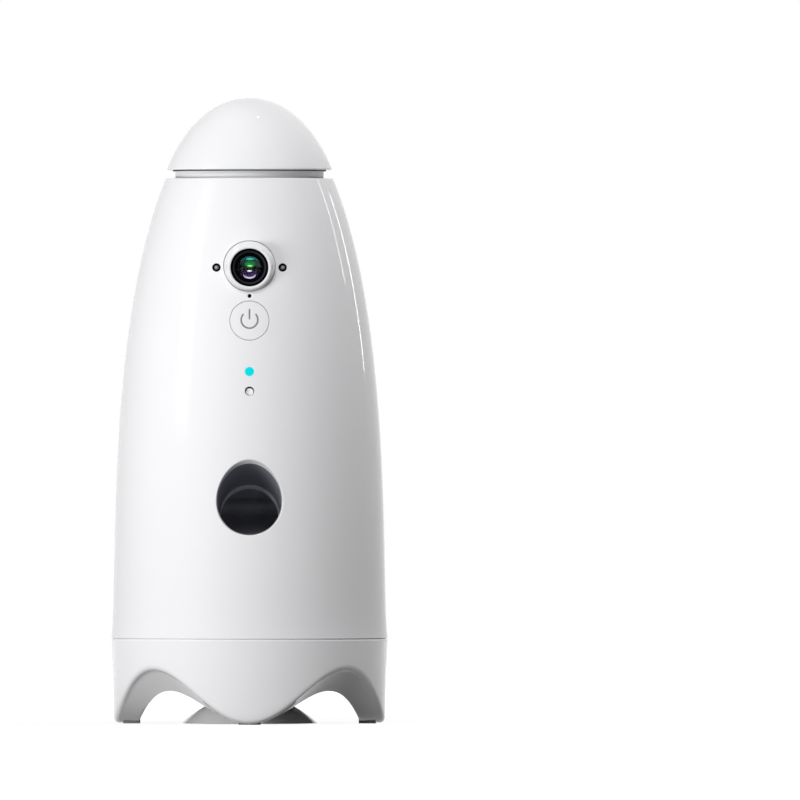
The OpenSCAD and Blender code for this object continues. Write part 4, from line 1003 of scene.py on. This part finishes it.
# %% The lens
def element(radius, edge_out, bulge, back_out):
    """A round glass: a shallow cap over a flat back. A negative bulge hollows it."""
    ball = (radius ** 2 + bulge ** 2) / (2 * abs(bulge))
    sign = 1 if bulge > 0 else -1
    rings = []
    for r in np.linspace(radius, 0, 14):
        rise = math.sqrt(ball ** 2 - r ** 2) - (ball - abs(bulge))
        rings.append(eye_ring(r, edge_out + sign * rise))
    return skin_of(rings + [eye_ring(0.0, back_out), eye_ring(radius, back_out)], wrap=True)


piece("front_glass", element(4.8, 1.25, 1.4, 0.9), clear_glass, "case",
      ["camera_lens"], sharp=40)
for name, shape in (("hollow_element", element(4.4, -0.6, -0.9, -1.55)),
                    ("inner_element", element(2.3, -0.9, 1.15, -1.5))):
    piece(name, shape, reflection_painted_glass, "case", sharp=40)

# %% [markdown]
# On each side of the eye a small lamp looks out through a black collar. The collar's face follows the
# shell, and its bore is a little narrower than the lamp, so only the lamp's middle shows.

# %% The infrared collars
COLLAR_OUT, COLLAR_IN, COLLAR_DEEP = INFRARED_HOLE - 0.01, 0.92, 2.4
collar_rows = [(COLLAR_OUT, 0.05), (COLLAR_IN + 0.08, 0.12), (COLLAR_IN, 0.25),
               (COLLAR_IN, COLLAR_DEEP), (COLLAR_OUT, COLLAR_DEEP)]
collars = [skin_of([on_shell(circle(x, EYE_HEIGHT, r, 48), depth) for r, depth in collar_rows],
                   wrap=True) for x in (-INFRARED_X, INFRARED_X)]
piece("infrared_collars", joined(collars), gloss_black, "case",
      ["infrared_rings"], sharp=40)

# %% [markdown]
# The power button is a cap that follows the shell, with a flange behind it that keeps it from falling
# out. The flange is cut off flat at the top, to stay clear of the microphone above it.

# %% The power button
KEY_FACE = -43.0
BUTTON_BACK, FLANGE_OUT, FLANGE_BACK, STEM_R = 2.85, 1.3, 3.95, 2.2


def button_rings(z0, rows, steps, level=math.inf):
    """Rings of a round button, cut off at a level over its middle.

    Each row is (radius, depth under the shell), or (radius, None, y) for a flat ring.
    """
    a = around(steps)
    rings = []
    for radius, *where in rows:
        x, z = radius * np.cos(a), z0 + np.minimum(radius * np.sin(a), level)
        rings.append(points_at(x, where[1] if where[0] is None else front_y(x, z) + where[0], z))
    return rings


button_rows = [(r, 0.0) for r in np.linspace(0, POWER_R - 0.25, 14)]
button_rows += [(POWER_R - 0.12, 0.04), (POWER_R - 0.03, 0.13), (POWER_R, 0.25),
                (POWER_R, BUTTON_BACK), (POWER_R + FLANGE_OUT, BUTTON_BACK),
                (POWER_R + FLANGE_OUT, FLANGE_BACK), (STEM_R, FLANGE_BACK),
                (STEM_R, None, KEY_FACE), (0.0, None, KEY_FACE)]
button_shape = skin_of(button_rings(POWER_Z, button_rows, 128, POWER_R), wrap=True)
print(len(button_rows), "rings in the button")

# %% [markdown]
# The usual power sign is let into the button: a broken ring and an upright stroke, both with round
# ends. They are drawn as outlines that can be made a little wider or narrower.

# %% The power sign's outlines
SIGN_R, SIGN_STROKE, SIGN_GAP, SIGN_Z = 3.45, 0.7, 50, 167.6
BAR_LOW, BAR_HIGH = 168.1, 171.9


def end_round(angle, half, sense):
    """The round end of the stroke at an angle of the ring."""
    middle = np.array([SIGN_R * math.cos(angle), SIGN_Z + SIGN_R * math.sin(angle)])
    out = np.array([math.cos(angle), math.sin(angle)]) * sense
    along = np.array([-math.sin(angle), math.cos(angle)]) * sense
    return [tuple(middle + half * (out * math.cos(t) + along * math.sin(t)))
            for t in np.linspace(0, math.pi, 9)[1:-1]]


def sign_arc(grow):
    """The broken ring of the power sign, as [x, z] points."""
    half = SIGN_STROKE / 2 + grow
    start, end = math.radians(90 + SIGN_GAP), math.radians(450 - SIGN_GAP)
    points = []
    for sense, a_from, a_to in ((1, start, end), (-1, end, start)):
        radius = SIGN_R + sense * half
        points += [(radius * math.cos(a), SIGN_Z + radius * math.sin(a))
                   for a in np.linspace(a_from, a_to, 48)]
        points += end_round(a_to, half, sense)
    return np.array(points)


def sign_bar(grow):
    """The upright stroke of the power sign, as [x, z] points."""
    half = SIGN_STROKE / 2 + grow
    return np.array([(half * math.cos(t), middle + half * math.sin(t))
                     for middle, start in ((BAR_HIGH, 0), (BAR_LOW, math.pi))
                     for t in np.linspace(start, start + math.pi, 12)])


print(len(sign_arc(0)), "points in the ring and", len(sign_bar(0)), "in the stroke")

# %% [markdown]
# The sign is cut as a shallow groove, and a thin grey inlay, a hair narrower, lies on its floor.

# %% Cut and inlay the sign
def sign_tools(stations):
    return [hole_tool(outline, stations) for outline in (sign_arc, sign_bar)]


button_mesh = cut(tidy_mesh("button_blank", *button_shape), sign_tools([(0.0, -1.0), (0.0, 0.16)]))
true_normals(button_mesh, 40)
piece("button_cap", button_mesh, shell_white, "power_button", ["power_button"])
inlay = joined(sign_tools([(-0.01, 0.10), (-0.01, 0.3)]))
piece("power_sign", inlay, mark_grey, "power_button", sharp=60)

# %% [markdown]
# The reset button is a small rod that lies below the surface and sits a little low in its hole. A dark
# ring fills the gap round it. It is painted shade for the hole's shadow, and shows as the dark crescent
# in the photograph.

# %% The reset button
RESET_FACE = float(front_y(0, RESET_Z))
ROD_R, ROD_DROP, ROD_SUNK = 1.56, 0.3, 1.3
HEAD_R, HEAD_FRONT, HEAD_BACK, TAIL_R = 2.7, -49.6, -48.5, 1.55
SHADE_R, SHADE_GAP, SHADE_FRONT, SHADE_BACK = 1.89, 0.06, 1.7, 2.4
rod_rows = [(r, RESET_FACE + ROD_SUNK) for r in np.linspace(0, ROD_R - 0.2, 5)]
rod_rows += [(ROD_R - 0.06, RESET_FACE + 1.36), (ROD_R, RESET_FACE + 1.5), (ROD_R, HEAD_FRONT),
             (HEAD_R, HEAD_FRONT), (HEAD_R, HEAD_BACK), (TAIL_R, HEAD_BACK), (TAIL_R, KEY_FACE),
             (0.0, KEY_FACE)]
rod_rings = button_rings(RESET_Z - ROD_DROP, [(r, None, y) for r, y in rod_rows], 64)
piece("reset_rod", skin_of(rod_rings, wrap=True), shell_white, "reset_button",
      ["reset_button"], sharp=40)

# Painted shade: a dark ring in the recess, widest above the lowered rod, stands for the shadow of the
# hole's rim.
outer, bore = (SHADE_R, 0.0), (ROD_R + SHADE_GAP, ROD_DROP)
shade_rings = []
for (radius, drop), depth in ((outer, SHADE_FRONT), (bore, SHADE_FRONT),
                              (bore, SHADE_BACK), (outer, SHADE_BACK)):
    shade_rings += button_rings(RESET_Z - drop, [(radius, None, RESET_FACE + depth)], 64)
piece("reset_shade_ring", skin_of(shade_rings, wrap=True), soft_black, "case", sharp=40)

# %% [markdown]
# Behind the outlet the chute leads back to the round throat. It is lofted between the two outlines. A
# paler lip round the throat is a painted highlight: it gives the arch-shaped glint that the photograph
# shows inside.

# %% The chute
THROAT_R, THROAT_Z, THROAT_Y = 12.83, 85.5, -20.0
CHUTE_FRONT_DEPTH, CHUTE_EASE, CHUTE_WALL, MOUTH_WALL = 2.5, 0.6, 1.6, 2.8


def chute_ring(share, grow=0.0):
    """A ring of the loft. Share runs from 0 at the throat to 1 at the back of the shell."""
    throat = circle(0, THROAT_Z, THROAT_R + grow, OUTLET_STEPS)
    mouth = outlet_at(grow + 0.05, 1.0)
    flat = throat + (mouth - throat) * min(max(share, 0.0), 1.0) ** CHUTE_EASE
    front = front_y(flat[:, 0], flat[:, 1]) + CHUTE_FRONT_DEPTH
    return points_at(flat[:, 0], THROAT_Y + (front - THROAT_Y) * share, flat[:, 1])


chute_rows = [(s, 0.0) for s in np.linspace(1, 0.06, 26)]
chute_rows += [(0.05, -0.3), (0.045, -0.62), (0.0, -0.62), (-0.03, -0.05)]
chute_rows += [(s, CHUTE_WALL) for s in np.linspace(0.0, 0.93, 14)]
chute_rows += [(0.95, MOUTH_WALL), (1.0, MOUTH_WALL)]
chute_shape = skin_of([chute_ring(*row) for row in chute_rows], wrap=True)
piece("chute", chute_shape, chute_slate, "case", ["outlet_chute"], sharp=45)
# The lip's pale finish is a painted highlight.
lip_rows = [(0.04, -0.64), (0.05, -0.7), (0.045, -0.82), (0.02, -0.88), (0.0, -0.8), (0.0, -0.64)]
lip_shape = skin_of([chute_ring(*row) for row in lip_rows], wrap=True)
piece("chute_glint_lip", lip_shape, glint_slate, "case", sharp=45)

# %% [markdown]
# The suction cup is a thin dome of silicone. Its lip lies on the floor, and a smooth section replaces
# the stepped one of the measured part.

# %% The suction cup
CUP_R, CUP_H, CUP_WALL = 28.2, 11.6, 1.7
CUP_NECK = [(0.0, 19.8), (4.3, 19.8), (4.7, 19.6), (5.4, 16.5), (3.8, 16.5), (3.8, 13.8),
            (5.4, 13.8), (5.9, 11.2)]
CUP_LIP = [(CUP_R - 0.1, 0.15), (CUP_R - 0.4, 0.0), (CUP_R - 1.6, 0.0)]
cup_ball = (CUP_R ** 2 + CUP_H ** 2) / (2 * CUP_H)
cup_low = CUP_H - cup_ball
sweep_out = math.asin(CUP_R / cup_ball)
sweep_in = math.acos(-cup_low / (cup_ball - CUP_WALL))


def cup_arc(ball, sweep):
    return [(ball * math.sin(a), cup_low + ball * math.cos(a)) for a in sweep]


cup_profile = (
    CUP_NECK + cup_arc(cup_ball, np.linspace(sweep_out * 0.26, sweep_out * 0.985, 40))
    + CUP_LIP + cup_arc(cup_ball - CUP_WALL, np.linspace(sweep_in * 0.93, 0, 30))
)
piece("suction_dome", turned(cup_profile[::-1]), silicone, "case", ["suction_cup"])

# %% [markdown]
# Every other measured part keeps its own shape and gets a finish. One table says which.

# %% Finishes for the measured parts
FINISH_OF = {
    inner_white: ["hopper", "lid_liner", "metering_tray", "metering_rotor", "hopper_baffle",
                  "drive_pinion", "bottom_plate", "status_led"],
    gloss_black: ["microphone"],
    # The launcher parts get the slate with painted light.
    lit_throat_slate: ["launcher_housing", "launcher_cover", "paddle_wheel"],
    dark_plastic: ["chassis", "power_key", "reset_key", "power_switch", "reset_switch", "speaker",
                   "main_chips"],
    lamp_epoxy: ["infrared_lights"],
    cyan_glow: ["status_light_pipe"],
    silicone: ["lid_seal"],
    soft_black: ["microphone_boot"],
    foot_grey: ["rubber_feet"],
    steel: ["paddle_shaft", "rotor_pin", "pinion_shaft", "launch_motor", "metering_motor",
            "charging_socket", "base_screws", "shell_screws", "cover_screws", "launcher_screws",
            "board_screws"],
    bronze: ["paddle_bush"],
    solder_green: ["camera_board", "front_board", "main_board", "charging_board"],
}
for finish, names in FINISH_OF.items():
    for name in names:
        part = frame["nodes"][name]
        part.data.materials.clear()
        part.data.materials.append(finish)
finished = sum(len(names) for names in FINISH_OF.values())
print(finished, "measured parts finished of", len(frame["nodes"]))
